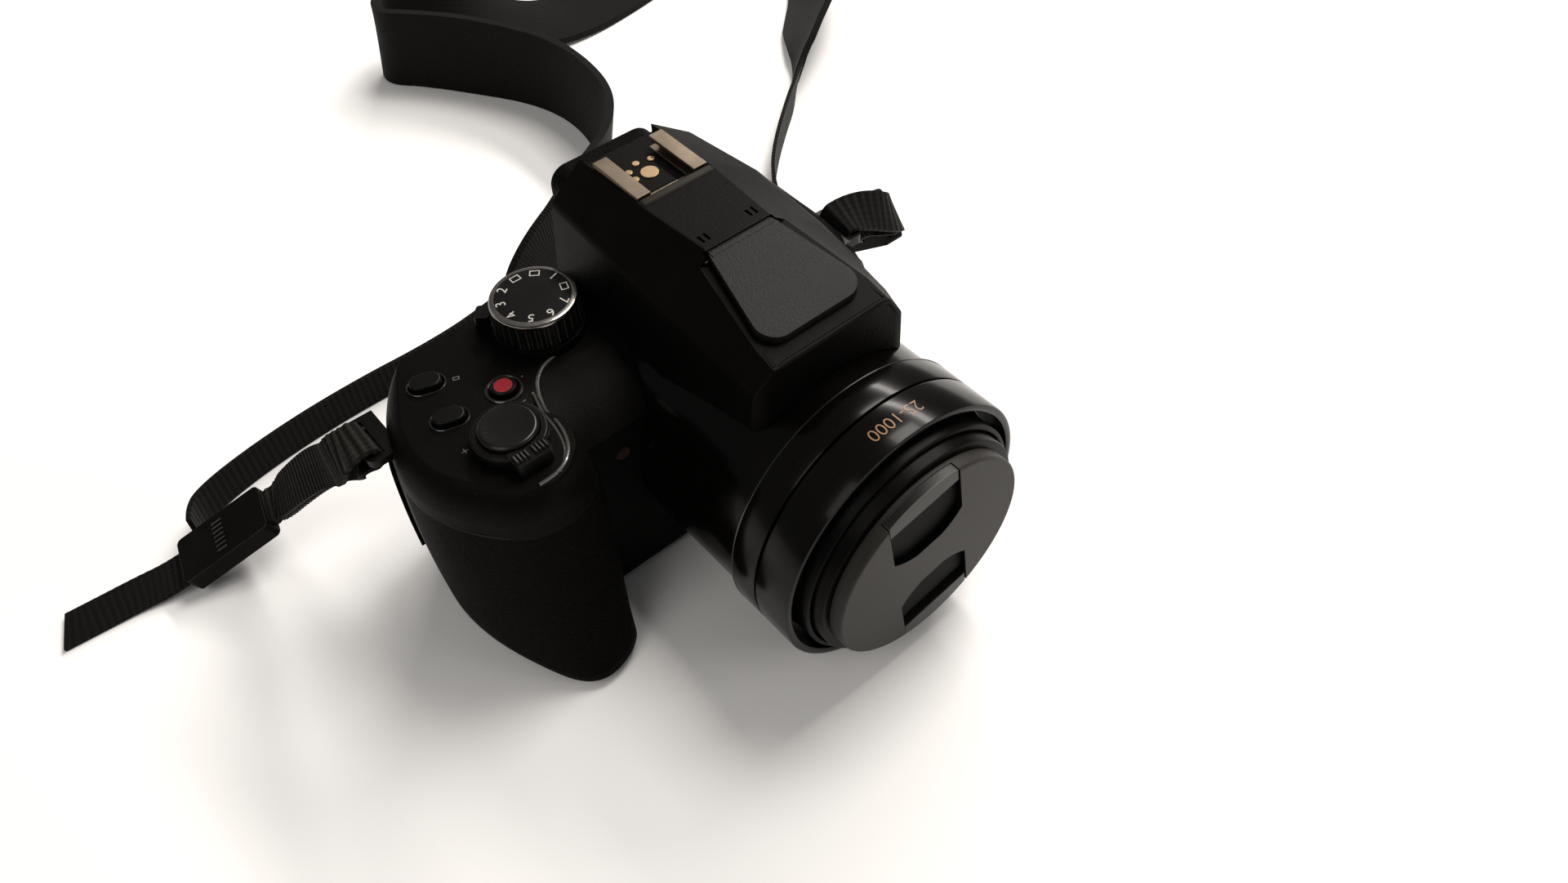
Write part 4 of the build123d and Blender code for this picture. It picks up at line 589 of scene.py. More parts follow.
def frame_mark(bm, placing, width, height):
    """Adds a thin raised outline of a rectangle."""
    scaled = placing @ Matrix.Diagonal((width * MM, height * MM, 1.0, 1.0))
    made = bmesh.ops.create_grid(bm, x_segments=1, y_segments=1, size=0.5, matrix=scaled)
    inner = made["verts"][0].link_faces[0]
    rim = bmesh.ops.inset_region(
        bm, faces=[inner], thickness=MARK_LINE * MM, use_even_offset=True, use_boundary=True,
    )["faces"]
    bmesh.ops.delete(bm, geom=[inner], context="FACES")
    lifted = bmesh.ops.extrude_face_region(bm, geom=rim)
    up = placing.to_3x3() @ Vector((0, 0, 2 * SHEET_LIFT * MM))
    bmesh.ops.translate(bm, vec=up, verts=[item for item in lifted["geom"] if isinstance(item, bmesh.types.BMVert)])


def printed(name, signs, frames, material, body):
    """One piece of print: characters and outlined rectangles, each with its placing."""
    bm = bmesh.new()
    for text, size, placing in signs:
        mesh = sign_mesh(text, size)
        mesh.transform(placing)
        bm.from_mesh(mesh)
        bpy.data.meshes.remove(mesh)
    bmesh.ops.remove_doubles(bm, verts=bm.verts, dist=SAME_POINT)
    for width, height, placing in frames:
        frame_mark(bm, placing, width, height)
    bmesh.ops.recalc_face_normals(bm, faces=bm.faces)
    return settle(finish_mesh(name, bm, [material]), body)


def rounded_block(name, low, high, radius, material):
    """A block of the camera's body between two corners in mm, with every edge rounded."""
    low, high = Vector(low) * MM, Vector(high) * MM
    bm = bmesh.new()
    placing = Matrix.Translation((low + high) / 2) @ Matrix.Diagonal((*(high - low), 1.0))
    bmesh.ops.create_cube(bm, size=1.0, matrix=placing)
    bmesh.ops.bevel(
        bm, geom=bm.edges[:], offset=radius * MM, offset_type="OFFSET", segments=4, profile=0.5, affect="EDGES",
        material=-1, clamp_overlap=True,
    )
    return settle(finish_mesh(name, bm, [material]), "camera_body")


# ---- strap


def course(*rows):
    """The points of a strap in mm, each with the way across it and perhaps half the gap between its two runs."""
    return [(row[:3], row[3:6], *row[6:]) for row in rows]


LUG_SLOT_X = 65.2
RIGHT_SLIDER = ((-101.0, 80.0, 10.0), (-0.90, 0.22, -0.38), (0.22, 0.97, 0.0))
LEFT_SLIDER = ((86.2, 32.8, 42.6), (0.05, 0.75, -0.65), (0.0, 0.65, 0.75))
SLIDER_LENGTH, SLIDER_THICK = 27.0, 5.4
LOOP_RIGHT = course(
    (-LUG_SLOT_X, 38.0, 59.0, 0, 1, 0, 3.3), (-70.8, 38.4, 58.2, 0, 1, 0, 3.0),
    (-72.0, 42.5, 53.0, 0.08, 0.92, 0.30, 2.4), (-72.0, 50.5, 46.0, 0.16, 0.82, 0.55, 1.6),
    (-75.6, 59.5, 37.5, 0.18, 0.84, 0.50, 1.2), (-81.4, 68.0, 27.0, 0.20, 0.90, 0.32, 1.0),
)
LOOP_LEFT = course(
    (LUG_SLOT_X, 21.5, 59.0, 0, 1, 0, 3.2), (70.6, 21.4, 59.4, 0, 0.9, 0.3, 3.2),
    (76.0, 20.2, 59.2, 0, 0.75, 0.65, 2.8), (81.0, 18.4, 57.2, 0.1, 0.65, 0.75, 1.9),
)
TAIL_RIGHT = course(
    (-118.5, 84.6, 2.4, 0.2, 0.98, 0.0), (-126.0, 86.6, 1.2, 0.1, 0.99, 0), (-136.0, 87.6, 0.75, 0.06, 1, 0),
    (-146.2, 88.3, 0.75, 0.06, 1, 0),
)
RUN_RIGHT = course(
    (-106.9, 90.2, 6.9, 0, 0, 1), (-105.0, 96.5, 6.3, 0, 0, 1), (-98.0, 101.0, 5.8, 0, 0, 1),
    (-84.0, 104.5, 5.7, 0, 0, 1), (-66.0, 107.0, 5.7, 0, 0, 1), (-46.0, 108.0, 5.7, 0, 0, 1),
    (-26.0, 107.6, 5.7, 0, 0, 1), (-8.0, 108.6, 6.1, 0, 0, 1), (6.0, 111.0, 7.1, 0, 0, 1),
)
PAD = course(
    (6.2, 111.03, 7.11, 0, 0, 1), (9.6, 111.61, 7.35, 0, 0, 1), (20.0, 113.5, 16.2, 0, -0.1, 1),
    (36.0, 117.5, 17.0, 0, 0, 1), (52.0, 125.0, 16.8, 0, 0.1, 1), (66.0, 138.0, 16.8, 0.1, -0.15, 1),
    (77.0, 155.0, 16.8, 0.1, -0.25, 0.97), (82.0, 174.0, 16.8, 0.05, -0.1, 1), (82.0, 194.0, 16.6, 0, 0, 1),
    (75.5, 212.0, 16.6, -0.05, 0, 1), (65.0, 230.0, 16.6, 0, 0, 1), (53.0, 246.0, 16.8, 0, -0.1, 1),
    (43.0, 257.0, 16.8, 0.05, -0.2, 0.97), (47.0, 268.0, 17.0, 0.05, -0.2, 0.97), (60.0, 268.0, 17.0, -0.1, 0.3, 0.9),
    (78.0, 259.0, 14.4, -0.25, 0.55, 0.6), (98.0, 251.0, 6.4, -0.1, 0.95, 0.2), (120.0, 248.5, 2.0, -0.1, 1, 0),
    (142.0, 252.0, 1.5, -0.2, 0.97, 0), (164.0, 257.0, 3.0, 0.1, 0.95, 0.12), (186.0, 257.5, 7.0, 0.4, 0.85, 0.35),
    (207.0, 247.0, 12.4, 0.55, 0.5, 0.6), (221.0, 229.0, 14.0, 0.6, 0.15, 0.75),
    (222.0, 207.0, 14.2, 0.6, -0.25, 0.75), (208.0, 188.0, 13.7, 0.45, -0.5, 0.74),
    (190.0, 171.5, 14.0, 0.45, -0.5, 0.74), (173.0, 156.5, 13.4, 0.4, -0.45, 0.8),
    (163.2, 148.19, 8.06, 0.2, -0.2, 0.95), (160.2, 145.67, 7.64, 0.2, -0.2, 0.95),
)
RUN_LEFT = course(
    (160.0, 145.5, 7.6, 0.2, -0.2, 0.95), (150.0, 137.1, 6.2, 0, 0, 1), (138.0, 128.0, 5.8, 0, 0, 1),
    (124.0, 116.5, 5.7, 0, 0, 1), (112.0, 105.0, 5.7, 0, 0, 1), (103.5, 93.0, 6.2, 0, 0, 1),
    (97.5, 80.0, 8.6, 0, 0.2, 1), (92.0, 67.0, 13.6, 0, 0.5, 0.85), (88.4, 54.0, 24.2, 0, 0.6, 0.8),
)
SLIDER_GAP, LOOP_GAP, SIDE_REACH = 0.3, 0.2, 10.0
SLIDER_RIBS, RIB_STEP, RIB_REACH, RIB_SHIFT = 7, 1.6, 1.6, 0.5
AROUND, FLATNESS, BULGE = 32, 1.35, 1.9
PAD_TAPER, SLIDER_EXIT, TAIL_CUT, CUT_ROWS = 0.07, 1.03, -0.0016, 8
FABRIC_SMOOTH = math.radians(60.0)


def slider_end(slider, way):
    """The middle of one end of a slider, just outside it."""
    centre, along = (Vector(part) for part in slider[:2])
    return tuple(centre + along.normalized() * (way * (SLIDER_LENGTH / 2 + SLIDER_GAP)))


def loop_route(places, slider):
    """The points of webbing that runs from the slider round the lug's bar and back."""
    apart = (bpy.context.scene.camera_strap.web_thick / MM + LOOP_GAP) / 2
    line = places + [(slider_end(slider, way), slider[2], apart) for way in (-1.3, -1, 0, 1)]
    near, far = [], []
    for index, (place, way, gap) in enumerate(line):
        before = Vector(line[max(index - 1, 0)][0])
        after = Vector(line[min(index + 1, len(line) - 1)][0])
        out = (after - before).cross(Vector(way)).normalized() * gap
        near.append((tuple(Vector(place) + out), way))
        far.append((tuple(Vector(place) - out), way))
    return near[::-1] + far


def spline_points(points, resolution):
    """The points of the smooth line that the route's points draw."""
    mesh = meshed(nurbs(points, resolution))
    found = [vertex.co.copy() for vertex in mesh.vertices]
    bpy.data.meshes.remove(mesh)
    return found


def strap_lines(route, resolution):
    """The strap's middle line, and for each of its points the way across it and out of it."""
    middle = spline_points([place for place, way in route], resolution)
    aside = [tuple(Vector(place) + Vector(way).normalized() * SIDE_REACH) for place, way in route]
    side = spline_points(aside, resolution)
    stations = []
    for index, point in enumerate(middle):
        tangent = (middle[min(index + 1, len(middle) - 1)] - middle[max(index - 1, 0)]).normalized()
        across = side[index] - point
        across = (across - tangent * across.dot(tangent)).normalized()
        stations.append((point, across, tangent.cross(across)))
    return middle, stations


def strap_piece(name, route, width_at, thick, material, resolution, rib=0.0, cut=0.0):
    """A woven strap with rounded selvedges along a route: one closed skin, with its own map."""
    middle, stations = strap_lines(route, resolution)
    lengths = [0.0]
    for a, b in zip(middle, middle[1:]):
        lengths.append(lengths[-1] + (b - a).length)
    total = lengths[-1]
    rows = len(stations) - 1
    bm = bmesh.new()
    uv = bm.loops.layers.uv.new("strap")
    bmesh.ops.create_grid(bm, x_segments=rows, y_segments=AROUND, size=1.0, calc_uvs=True)
    pitch = bpy.context.scene.camera_strap.rib_pitch
    for face in bm.faces:
        for loop in face.loops:
            row, turn = round(loop[uv].uv[0] * rows), loop[uv].uv[1]
            loop[uv].uv = (lengths[row], turn * 2 * width_at(0.5))
    end_way = (middle[-1] - middle[-2]).normalized()
    for vertex in bm.verts:
        row = round((vertex.co.x + 1) / 2 * rows)
        turn = round((vertex.co.y + 1) / 2 * AROUND) / AROUND * 2 * math.pi
        point, across, out = stations[row]
        flat = max(-1.0, min(1.0, math.cos(turn) * FLATNESS))
        height = max(-1.0, min(1.0, math.sin(turn) * BULGE))
        swell = 1.0 + rib * math.sin(2 * math.pi * lengths[row] / pitch)
        vertex.co = point + across * (width_at(lengths[row] / total) / 2 * flat) + out * (thick / 2 * height * swell)
        if cut and row > rows - CUT_ROWS:
            vertex.co += end_way * (flat * cut * (row - rows + CUT_ROWS) / CUT_ROWS)
    bmesh.ops.remove_doubles(bm, verts=bm.verts, dist=SAME_PLACE)
    bmesh.ops.holes_fill(bm, edges=[edge for edge in bm.edges if edge.is_boundary])
    bmesh.ops.recalc_face_normals(bm, faces=bm.faces)
    return finish_mesh(name, bm, [material], FABRIC_SMOOTH), middle, total


class CAMERA_OT_strap(bpy.types.Operator):
    """Weaves the neck strap with its two adjusters"""

    bl_idname = "camera_dresser.strap"
    bl_label = "Neck strap"

    @staticmethod
    def slider_bar(side, slider, index):
        """One rib of the grip that runs across the upper face of a slider."""
        centre, along, across = (Vector(part) for part in slider)
        along = along.normalized()
        across = (across - along * across.dot(along)).normalized()
        up = across.cross(along)
        aside = (index - SLIDER_RIBS // 2) * RIB_STEP
        middle = centre + up * (SLIDER_THICK / 2) + across * aside + along * RIB_SHIFT
        line = [tuple(middle + along * reach) for reach in (-RIB_REACH, 0.0, RIB_REACH)]
        return bead(f"slider_rib_{side}_{index + 1}", line, 0.35, "ring_gloss")

    def execute(self, context):
        sizes = context.scene.camera_strap
        web, pad, thin = sizes.web_width, sizes.pad_width, sizes.web_thick

        def web_width(share):
            return web

        def pad_width(share):
            return web + (pad - web) * min(1.0, min(share, 1 - share) / PAD_TAPER)

        sliders = refined("strap_sliders", width=0.0005)
        bars = [
            self.slider_bar(side, slider, index)
            for side, slider in (("right", RIGHT_SLIDER), ("left", LEFT_SLIDER)) for index in range(SLIDER_RIBS)
        ]
        loops = []
        for side, places, slider, material, rib in (
            ("right", LOOP_RIGHT, RIGHT_SLIDER, "webbing", 0.26),
            ("left", LOOP_LEFT, LEFT_SLIDER, "webbing_plain", 0.06),
        ):
            route = loop_route(places, slider)
            piece, _, _ = strap_piece(f"webbing_loop_{side}", route, web_width, thin, material, 24, rib)
            loops.append(settle(piece, "camera_body", [f"strap_loop_{side}"]))
        tail_route = [(slider_end(RIGHT_SLIDER, SLIDER_EXIT), RIGHT_SLIDER[2])] + TAIL_RIGHT
        tail, _, _ = strap_piece("webbing_tail", tail_route, web_width, thin, "webbing_plain", 16, 0.08, TAIL_CUT)
        settle(tail, "camera_body", ["strap_tail_right"])
        left_route = RUN_LEFT + [(slider_end(LEFT_SLIDER, SLIDER_EXIT), LEFT_SLIDER[2])]
        for name, node, route, width_at, thick, material, wide, carried in (
            ("webbing_run_right", "strap_run_right", RUN_RIGHT, web_width, thin, "webbing_plain", web,
             [sliders, loops[0], tail] + bars),
            ("webbing_run_left", "strap_run_left", left_route, web_width, thin, "webbing_plain", web, [loops[1]]),
            ("shoulder_pad", "strap_pad", PAD, pad_width, sizes.pad_thick, "pad_fabric", pad, []),
        ):
            piece, middle, total = strap_piece(name, route, width_at, thick, material, 12)
            settle(piece, "camera_body", [node])
            tuple(middle[0])
            [tuple(point) for point in middle]
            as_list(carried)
        return {"FINISHED"}


# ---- the camera's own pieces


CAP_FACE, CAP_R = -61.5, 28.6
RECESS_DEPTH, CAP_RIM = (0.5, 2.0), 1.5
PLATE_TOP = 64.5
DIAL_X, DIAL_Y, DIAL_TOP, DIAL_R, DIAL_STEPS = -17.3, 37.5, 75.2, 10.6, 96
MARK_R, MARK_COUNT, MARK_STEP, FIRST_MARK, BOXED_MARKS = 7.7, 10, 36, 18, (1, 2, 9)
SHUTTER_X, SHUTTER_Y = -42.1, 11.3
ZOOM_RIB_TOP, ZOOM_RIB_STEP, ZOOM_RIBS = 69.4, 0.95, (-4, -3, -2, -1, 1, 2, 3, 4)
MOVIE_X, MOVIE_Y = -35.0, 25.9
RING_R, PRINT_Y, PRINT_SIZE, PRINT_LIFT, PRINT_WEIGHT = 36.8, -46.8, 4.6, 0.05, -0.012
SCREEN_CORNER = 2.0
REAR_MARK_SIZE, REAR_MARK_LIFT, PAD_REACH = 3.4, 0.02, 5.6
PLAIN_NODES = """
    front_cover rear_cover top_cover thumb_rubber grip_rubber eyecup flash_head battery_door port_door mode_dial
    power_lever zoom_lever burst_button focus_button rear_dial diopter_dial playback_button lock_button
    display_button return_button view_button direction_pad set_button shutter_button cap_latch_upper
    cap_latch_lower hot_shoe_rails hot_shoe_contacts strap_lugs battery memory_card battery_latch tripod_bush
    base_screws port_sockets viewfinder_unit screen_glass screen_panel sensor_unit main_board flash_window
    flash_tube af_lamp
""".split()
TURNED = (
    ("lens_tube", "lens_gloss", "camera_body", "lens_gloss", ["lens_base"], (
        (33.0, -46.4), (33.4, -46.5), (35.0, -46.5), (35.4, -46.2), (35.4, 25.6), (35.0, 26.0), (17.2, 26.0),
        (17.2, 24.0), (33.0, 24.0),
    )),
    ("barrel_rear_ring", "lens_gloss", "camera_body", "lens_gloss", ["rear_ring"], (
        (35.5, -33.0), (36.4, -33.0), (36.7, -33.1), (36.8, -33.4), (36.8, -40.8), (36.7, -41.15), (36.4, -41.25),
        (35.5, -41.25),
    )),
    ("barrel_rear_edge", "ring_gloss", "camera_body", "lens_gloss", (), (
        (36.3, -32.98), (36.7, -32.98), (36.88, -33.15), (36.88, -33.35), (36.7, -33.5), (36.3, -33.5),
    )),
    ("barrel_front_ring", "lens_gloss", "camera_body", "lens_gloss", ["front_ring"], (
        (35.5, -41.75), (36.4, -41.75), (36.7, -41.85), (36.8, -42.2), (36.8, -51.9), (36.65, -52.3), (36.2, -52.5),
        (35.3, -52.5), (34.95, -52.35), (34.8, -51.9), (34.8, -46.6), (35.5, -46.6),
    )),
    ("outer_zoom_tube", "zoom_barrel", "outer_zoom", "zoom_barrel", ["outer_barrel"], (
        (31.2, -54.3), (31.5, -54.6), (32.0, -54.6), (32.35, -54.45), (32.5, -54.1), (32.5, -10.6), (31.2, -10.6),
    )),
    ("inner_zoom_tube", "zoom_barrel", "inner_zoom", "zoom_barrel", ["inner_barrel"], (
        (27.5, -57.3), (27.8, -57.6), (30.2, -57.6), (30.55, -57.45), (30.7, -57.1), (30.7, -15.6), (29.4, -15.6),
        (29.4, -46.4), (23.4, -46.4), (23.4, -48.4), (25.1, -48.4), (25.1, -54.4), (27.5, -54.4), (27.5, -55.0),
        (27.3, -55.3), (27.5, -55.6), (27.5, -56.0), (27.3, -56.3), (27.5, -56.6),
    )),
)
DIAL_RING = (
    (9.2, -0.1), (9.25, 0.1), (9.9, 0.08), (10.35, -0.12), (DIAL_R + 0.05, -0.6), (DIAL_R + 0.05, -0.95),
    (DIAL_R - 0.3, -0.95), (DIAL_R - 1.0, -0.5),
)
PLATE_CURVE = (
    (-17.2, 27.4), (-21.4, 27.2), (-25.4, 25.6), (-29.0, 21.8), (-31.0, 15.4), (-31.2, 9.6), (-32.2, 4.4),
    (-34.2, 0.2), (-37.6, -2.6), (-41.4, -3.4), (-44.4, -3.3),
)
NOSE_RIM = (
    (-0.3, -23.1, 66.0), (-0.1, -23.7, 76.6), (0.7, -24.5, 79.2), (2.3, -25.6, 82.2), (4.0, -26.1, 84.2),
    (9.0, -26.2, 84.3), (20.0, -26.2, 84.3), (33.0, -26.2, 84.3), (36.6, -26.1, 84.2), (38.9, -26.1, 80.6),
    (40.7, -25.9, 77.0), (41.3, -25.7, 70.5), (41.5, -25.5, 65.3),
)
HUMP_EDGES = {
    "hump_edge_right": ((7.1, -8.2, 86.4), (4.8, -18.0, 85.8), (4.2, -25.8, 84.4)),
    "hump_edge_left": ((33.5, -8.2, 86.4), (35.7, -18.0, 85.8), (36.2, -25.8, 84.4)),
}
GRIP_SEAM = (
    (-64.6, 27.0, 52.0), (-65.0, 22.3, 52.0), (-64.4, 15.7, 52.1), (-61.6, 8.2, 52.1), (-57.3, 1.3, 52.1),
    (-52.2, -4.3, 52.1), (-45.4, -7.2, 52.2), (-38.8, -7.1, 52.3), (-34.4, -5.8, 52.8), (-31.7, -4.3, 54.3),
    (-30.6, -3.2, 56.8),
)
REAR_MARKS = {
    "playback_button": ">", "lock_button": "o", "display_button": "=", "return_button": "<", "set_button": "+",
    "direction_pad": "--::",
}
ROUND_THE_PAD = ((0, PAD_REACH), (0, -PAD_REACH), (PAD_REACH, 0), (-PAD_REACH, 0))


def lathe(name, profile, material, steps, upright=None):
    """A turned piece: a closed profile of (radius, height) in mm, spun round the lens axis or an upright one."""
    lens = bpy.context.scene.camera_lens
    bm = bmesh.new()
    points = [bm.verts.new((radius * MM, 0.0, height * MM)) for radius, height in profile]
    edges = [bm.edges.new(pair) for pair in zip(points, points[1:] + points[:1])]
    bmesh.ops.spin(
        bm, geom=points + edges, axis=(0, 0, 1), cent=(0, 0, 0), angle=2 * math.pi, steps=steps, use_merge=True,
    )
    cleaned(bm)
    if not upright:
        bmesh.ops.rotate(bm, verts=bm.verts, cent=(0, 0, 0), matrix=Matrix.Rotation(math.radians(-90), 3, "X"))
    centre = Vector(upright) * MM if upright else (lens.axis_x, 0, lens.axis_z)
    bmesh.ops.translate(bm, verts=bm.verts, vec=centre)
    return finish_mesh(name, bm, [material])


class CAMERA_OT_lens(bpy.types.Operator):
    """Turns the lens tube, its rings and the zoom barrels"""

    bl_idname = "camera_dresser.lens"
    bl_label = "Lens"

    def execute(self, context):
        for name, material, body, slot, nodes, profile in TURNED:
            settle(lathe(name, profile, material, context.scene.camera_lens.steps), body, nodes)
        refined("front_lens", width=0.0001)
        refined("rear_lens_group", width=0.0003)
        return {"FINISHED"}


class CAMERA_OT_covers(bpy.types.Operator):
    """Refines every cover, control and inner part"""

    bl_idname = "camera_dresser.covers"
    bl_label = "Covers and controls"

    def execute(self, context):
        for node in PLAIN_NODES:
            refined(node)
        # The hinge pin takes the near-black lug steel instead of bright steel: painted shade in the gap at the panel's
        # corners.
        refined("flash_hinge_pin", "lug_steel")
        # The cap's recesses take a near-black finish: painted shade.
        refined("lens_cap", width=0.0003, accent="recess_black", accented=self.in_recess)
        refined("movie_button", "control_plastic", accent="movie_red", accented=self.on_button_top)
        return {"FINISHED"}

    @staticmethod
    def on_button_top(face):
        """Whether a face belongs to the flat top of the movie button."""
        return face.normal.z > 0.98

    @staticmethod
    def in_recess(face):
        """Whether a face of the cap lies below its front face, as the floors and walls of its two recesses do; these
        faces get painted shade.
        """
        lens, centre = bpy.context.scene.camera_lens, face.calc_center_median()
        reach = math.hypot(centre.x - lens.axis_x, centre.z - lens.axis_z) / MM
        near, far = RECESS_DEPTH
        return near < centre.y / MM - CAP_FACE < far and reach < CAP_R - CAP_RIM


class CAMERA_OT_trim(bpy.types.Operator):
    """Adds the beads, rings, dial top and printed marks"""

    bl_idname = "camera_dresser.trim"
    bl_label = "Trim and print"

    def execute(self, context):
        self.plate_beads()
        bead("nose_rim", NOSE_RIM, 0.9, "body_plastic")
        for name, crease in HUMP_EDGES.items():
            bead(name, crease, 0.85, "body_plastic")
        self.button_rings()
        rounded_block("shoe_lip", (9.6, 25.9, 92.2), (30.4, 28.5, 94.2), 0.9, "lip_plastic")
        bead("grip_seam", GRIP_SEAM, 0.26, "control_plastic")
        self.dial()
        self.zoom_ribs()
        self.rear_marks()
        self.plate_marks()
        self.barrel_print(context.scene.camera_lens)
        return {"FINISHED"}

    def plate_beads(self):
        """The S-shaped line on the top plate and its inner companion, as beads whose light colour is a painted
        highlight.
        """
        height = surface_of("top_cover")
        outer = [(x, y, height(x, y)) for x, y in PLATE_CURVE]
        bead("plate_bead", outer, 0.5, "bead_gloss")
        shifted = [(x - 1.3, y - 0.7) for x, y in PLATE_CURVE[3:9]]
        inner = [(x, y, height(x, y) - 0.2) for x, y in shifted]
        bead("plate_bead_inner", inner, 0.38, "bead_gloss")

    def button_rings(self):
        """The glossy rings round the buttons on the top plate."""
        for name, line, radius in (
            ("burst_surround", oval_line(-47.9, 39.5, PLATE_TOP, 9.0, 6.4, -20.0), 0.28),
            ("focus_surround", oval_line(-49.2, 26.5, PLATE_TOP, 9.0, 6.4, -20.0), 0.28),
            ("movie_surround", oval_line(MOVIE_X, MOVIE_Y, PLATE_TOP, 8.3, 8.3), 0.5),
        ):
            bead(name, line, radius, "ring_gloss", cyclic=True)
        ring = oval_line(MOVIE_X, MOVIE_Y, PLATE_TOP + 1.2, 5.2, 5.2)
        bead("movie_ring", ring, 0.5, "control_plastic", cyclic=True, body="movie")

    def plate_marks(self):
        """The plain marks printed on the top plate."""
        top = PLATE_TOP + SHEET_LIFT
        signs = [
            (text, 3.2, facing((x, y, top), (1, 0, 0), (0, 0, 1)))
            for text, x, y in (("-", -33.4, 20.0), ("+", -51.6, 15.6), (".", -29.6, 27.5))
        ]
        frames = [(1.6, 1.1, facing((-41.6, 36.6, PLATE_TOP), (1, -0.36, 0), (0, 0, 1)))]
        printed("plate_marks", signs, frames, "paint_grey", "camera_body")

    def barrel_print(self, lens):
        """The number range, bent round the front ring."""
        mesh = sign_mesh("25-1000", PRINT_SIZE, PRINT_WEIGHT)
        for vertex in mesh.vertices:
            x, y, z = vertex.co / MM
            turn, reach = x / RING_R, (RING_R + PRINT_LIFT + z) * MM
            across, up = lens.axis_x - reach * math.sin(turn), lens.axis_z + reach * math.cos(turn)
            vertex.co = (across, (PRINT_Y - y) * MM, up)
        settle(finish_mesh("range_print", filled(mesh), ["paint_gold"]), "camera_body")

    def rear_marks(self):
        """The screen's frame and the plain marks on the rear buttons."""
        low, high = (Vector(corner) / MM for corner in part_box("screen_glass"))
        corners = [
            Vector((x, high.y, z)) for x, z in ((low.x, low.z), (low.x, high.z), (high.x, high.z), (high.x, low.z))
        ]
        line = []
        for before, corner, after in zip(corners[-1:] + corners[:-1], corners, corners[1:] + corners[:1]):
            start, end = (corner + (other - corner).normalized() * SCREEN_CORNER for other in (before, after))
            line += [start, corner, end]
        bead("screen_frame", line, 0.5, "body_plastic", cyclic=True)
        for node, marks in REAR_MARKS.items():
            low, high = (Vector(corner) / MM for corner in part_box(node))
            x, z, top = (low.x + high.x) / 2, (low.z + high.z) / 2, high.y + REAR_MARK_LIFT
            places = ROUND_THE_PAD if len(marks) > 1 else ((0, 0),)
            signs = [
                (text, REAR_MARK_SIZE, facing((x - left, top, z + up), (-1, 0, 0), (0, 1, 0)))
                for text, (left, up) in zip(marks, places)
            ]
            printed(f"{node}_mark", signs, (), "paint_grey", BODY_OF[node])

    def zoom_ribs(self):
        """The crests of the ribs on the zoom lever's tab, light in colour: a painted highlight."""
        for index in ZOOM_RIBS:
            x = SHUTTER_X + index * ZOOM_RIB_STEP
            line = [(x, SHUTTER_Y - reach, ZOOM_RIB_TOP) for reach in (8.3, 9.3, 10.3)]
            bead(f"zoom_rib_{index + 5}", line, 0.24, "bead_gloss", body="zoom")

    def dial(self):
        """The mode dial's bright edge and its printed top."""
        edge = lathe("dial_edge", DIAL_RING, "dial_chrome", DIAL_STEPS, (DIAL_X, DIAL_Y, DIAL_TOP))
        settle(edge, "dial")
        signs, frames = [], []
        for step in range(MARK_COUNT):
            way = math.radians(MARK_STEP * step + FIRST_MARK)
            x, y = math.cos(way), math.sin(way)
            place = (DIAL_X + MARK_R * x, DIAL_Y + MARK_R * y, DIAL_TOP + SHEET_LIFT)
            placing = facing(place, (y, -x, 0), (0, 0, 1))
            if step in BOXED_MARKS:
                frames.append((2.5, 1.9, placing))
            else:
                signs.append((str(len(signs) + 1), 3.5, placing))
        printed("dial_marks", signs, frames, "paint_white", "dial")


# ---- stage


FLOOR_REACH, FLOOR_DROP = 3.0, 0.0002
LAMP_COLOR = (1.0, 0.955, 0.90)
ROOM_COLOR, ROOM_LIGHT = (1.0, 0.985, 0.97, 1), 0.20
LAMPS = (
    ("key_light", (0.55, 0.06, 1.15), (0.0, 0.0, 0.05), (0.45, 0.45), 9.0),
    ("streak_light", (0.76, 0.50, 0.79), (0.02, 0.50, 0.07), (0.10, 1.1), 11.0),
    ("front_light", (0.80, -1.0, 0.55), (0.02, -0.05, 0.04), (0.5, 0.5), 4.0),
    ("fill_light", (-0.9, -0.2, 1.2), (0.0, 0.0, 0.03), (0.8, 0.8), 4.5),
)
VIEW_PLACE = (-0.1027, -0.1591, 0.2641)
AZIMUTH, ELEVATION, ROLL = -0.685, 0.873, -0.035
FILM_WIDTH, NEAREST = 36.0, 0.01


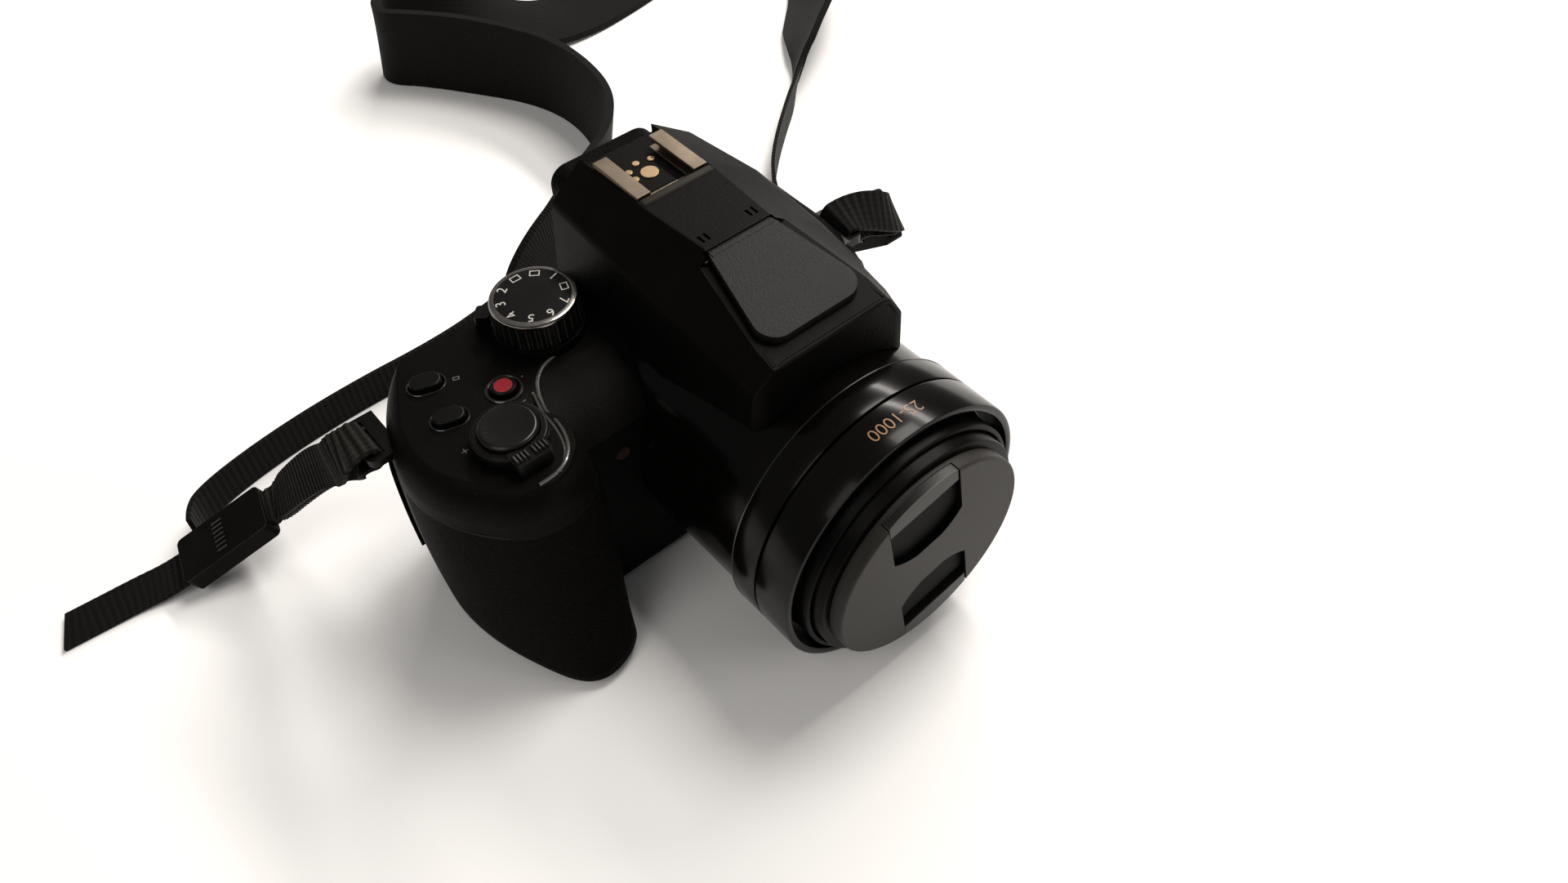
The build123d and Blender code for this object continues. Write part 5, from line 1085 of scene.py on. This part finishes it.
class CAMERA_OT_stage(bpy.types.Operator):
    """Lays the pale floor, the soft light and the photograph's view"""

    bl_idname = "camera_dresser.stage"
    bl_label = "Stage"

    def execute(self, context):
        self.floor(context)
        self.lights(context)
        self.view(context)
        return {"FINISHED"}

    def floor(self, context):
        """The pale paper that the camera stands on."""
        bm = bmesh.new()
        bmesh.ops.create_grid(bm, x_segments=2, y_segments=2, size=FLOOR_REACH)
        MATERIALS["floor_paper"] = bpy.data.materials.new("floor_paper")
        shader = tree_of(MATERIALS["floor_paper"])[1]
        shader.inputs["Base Color"].default_value = rgba(context.scene.camera_stage.floor_color)
        shader.inputs["Roughness"].default_value = 0.9
        floor = finish_mesh("floor", bm, ["floor_paper"])
        floor.location.z = -FLOOR_DROP

    def lights(self, context):
        """The pale room and its four soft lamps, each laid with its long side along Y."""
        world = bpy.data.worlds.new("soft_room")
        world.use_nodes = True
        background = world.node_tree.nodes["Background"]
        background.inputs[0].default_value = ROOM_COLOR
        background.inputs[1].default_value = ROOM_LIGHT
        context.scene.world = world
        for name, place, target, size, power in LAMPS:
            lamp = bpy.data.lights.new(name, "AREA")
            lamp.shape = "RECTANGLE"
            lamp.size, lamp.size_y = size
            lamp.energy = power
            lamp.color = LAMP_COLOR
            holder = bpy.data.objects.new(name, lamp)
            away = (Vector(place) - Vector(target)).normalized()
            along = (Vector((0, 1, 0)) - away * away.y).normalized()
            holder.matrix_world = framed(place, along.cross(away), along, away)
            context.scene.collection.objects.link(holder)

    def view(self, context):
        """The photograph's camera."""
        lens = bpy.data.cameras.new("photo_view")
        lens.lens = context.scene.camera_stage.focal
        lens.sensor_width = FILM_WIDTH
        lens.clip_start = NEAREST
        view = bpy.data.objects.new("photo_view", lens)
        placing = Matrix.Translation(VIEW_PLACE)
        for turn, axis in ((AZIMUTH, "Z"), (math.pi / 2 - ELEVATION, "X"), (ROLL, "Z")):
            placing = placing @ Matrix.Rotation(turn, 4, axis)
        view.matrix_world = placing
        context.scene.collection.objects.link(view)
        context.scene.camera = view
        context.scene.view_settings.view_transform = "Standard"


# ---- panel and registration


OPERATORS = (CAMERA_OT_stage, CAMERA_OT_strap, CAMERA_OT_lens, CAMERA_OT_covers, CAMERA_OT_trim)
SETTINGS = (
    ("camera_body", BodySettings), ("camera_lens", LensSettings), ("camera_strap", StrapSettings),
    ("camera_stage", StageSettings),
)


class CAMERA_PT_dresser(bpy.types.Panel):
    """Lists the camera's operators"""

    bl_idname = "CAMERA_PT_dresser"
    bl_label = "Camera"
    bl_space_type = "VIEW_3D"
    bl_region_type = "UI"
    bl_category = "Camera"

    def draw(self, context):
        for operator in OPERATORS:
            self.layout.operator(operator.bl_idname)


def register():
    """Registers the settings, the operators and the panel."""
    for name, group in SETTINGS:
        bpy.utils.register_class(group)
        setattr(bpy.types.Scene, name, PointerProperty(type=group))
    for item in (*OPERATORS, CAMERA_PT_dresser):
        bpy.utils.register_class(item)


def unregister():
    """Takes them out again."""
    for item in (CAMERA_PT_dresser, *reversed(OPERATORS)):
        bpy.utils.unregister_class(item)
    for name, group in reversed(SETTINGS):
        delattr(bpy.types.Scene, name)
        bpy.utils.unregister_class(group)


def main():
    """Builds the whole model."""
    register()
    make_materials()
    for operator in OPERATORS:
        group, name = operator.bl_idname.split(".")
        result = getattr(getattr(bpy.ops, group), name)()
        if "FINISHED" not in result:
            raise RuntimeError(f"{operator.bl_label} did not finish")


if __name__ == "__main__":
    main()
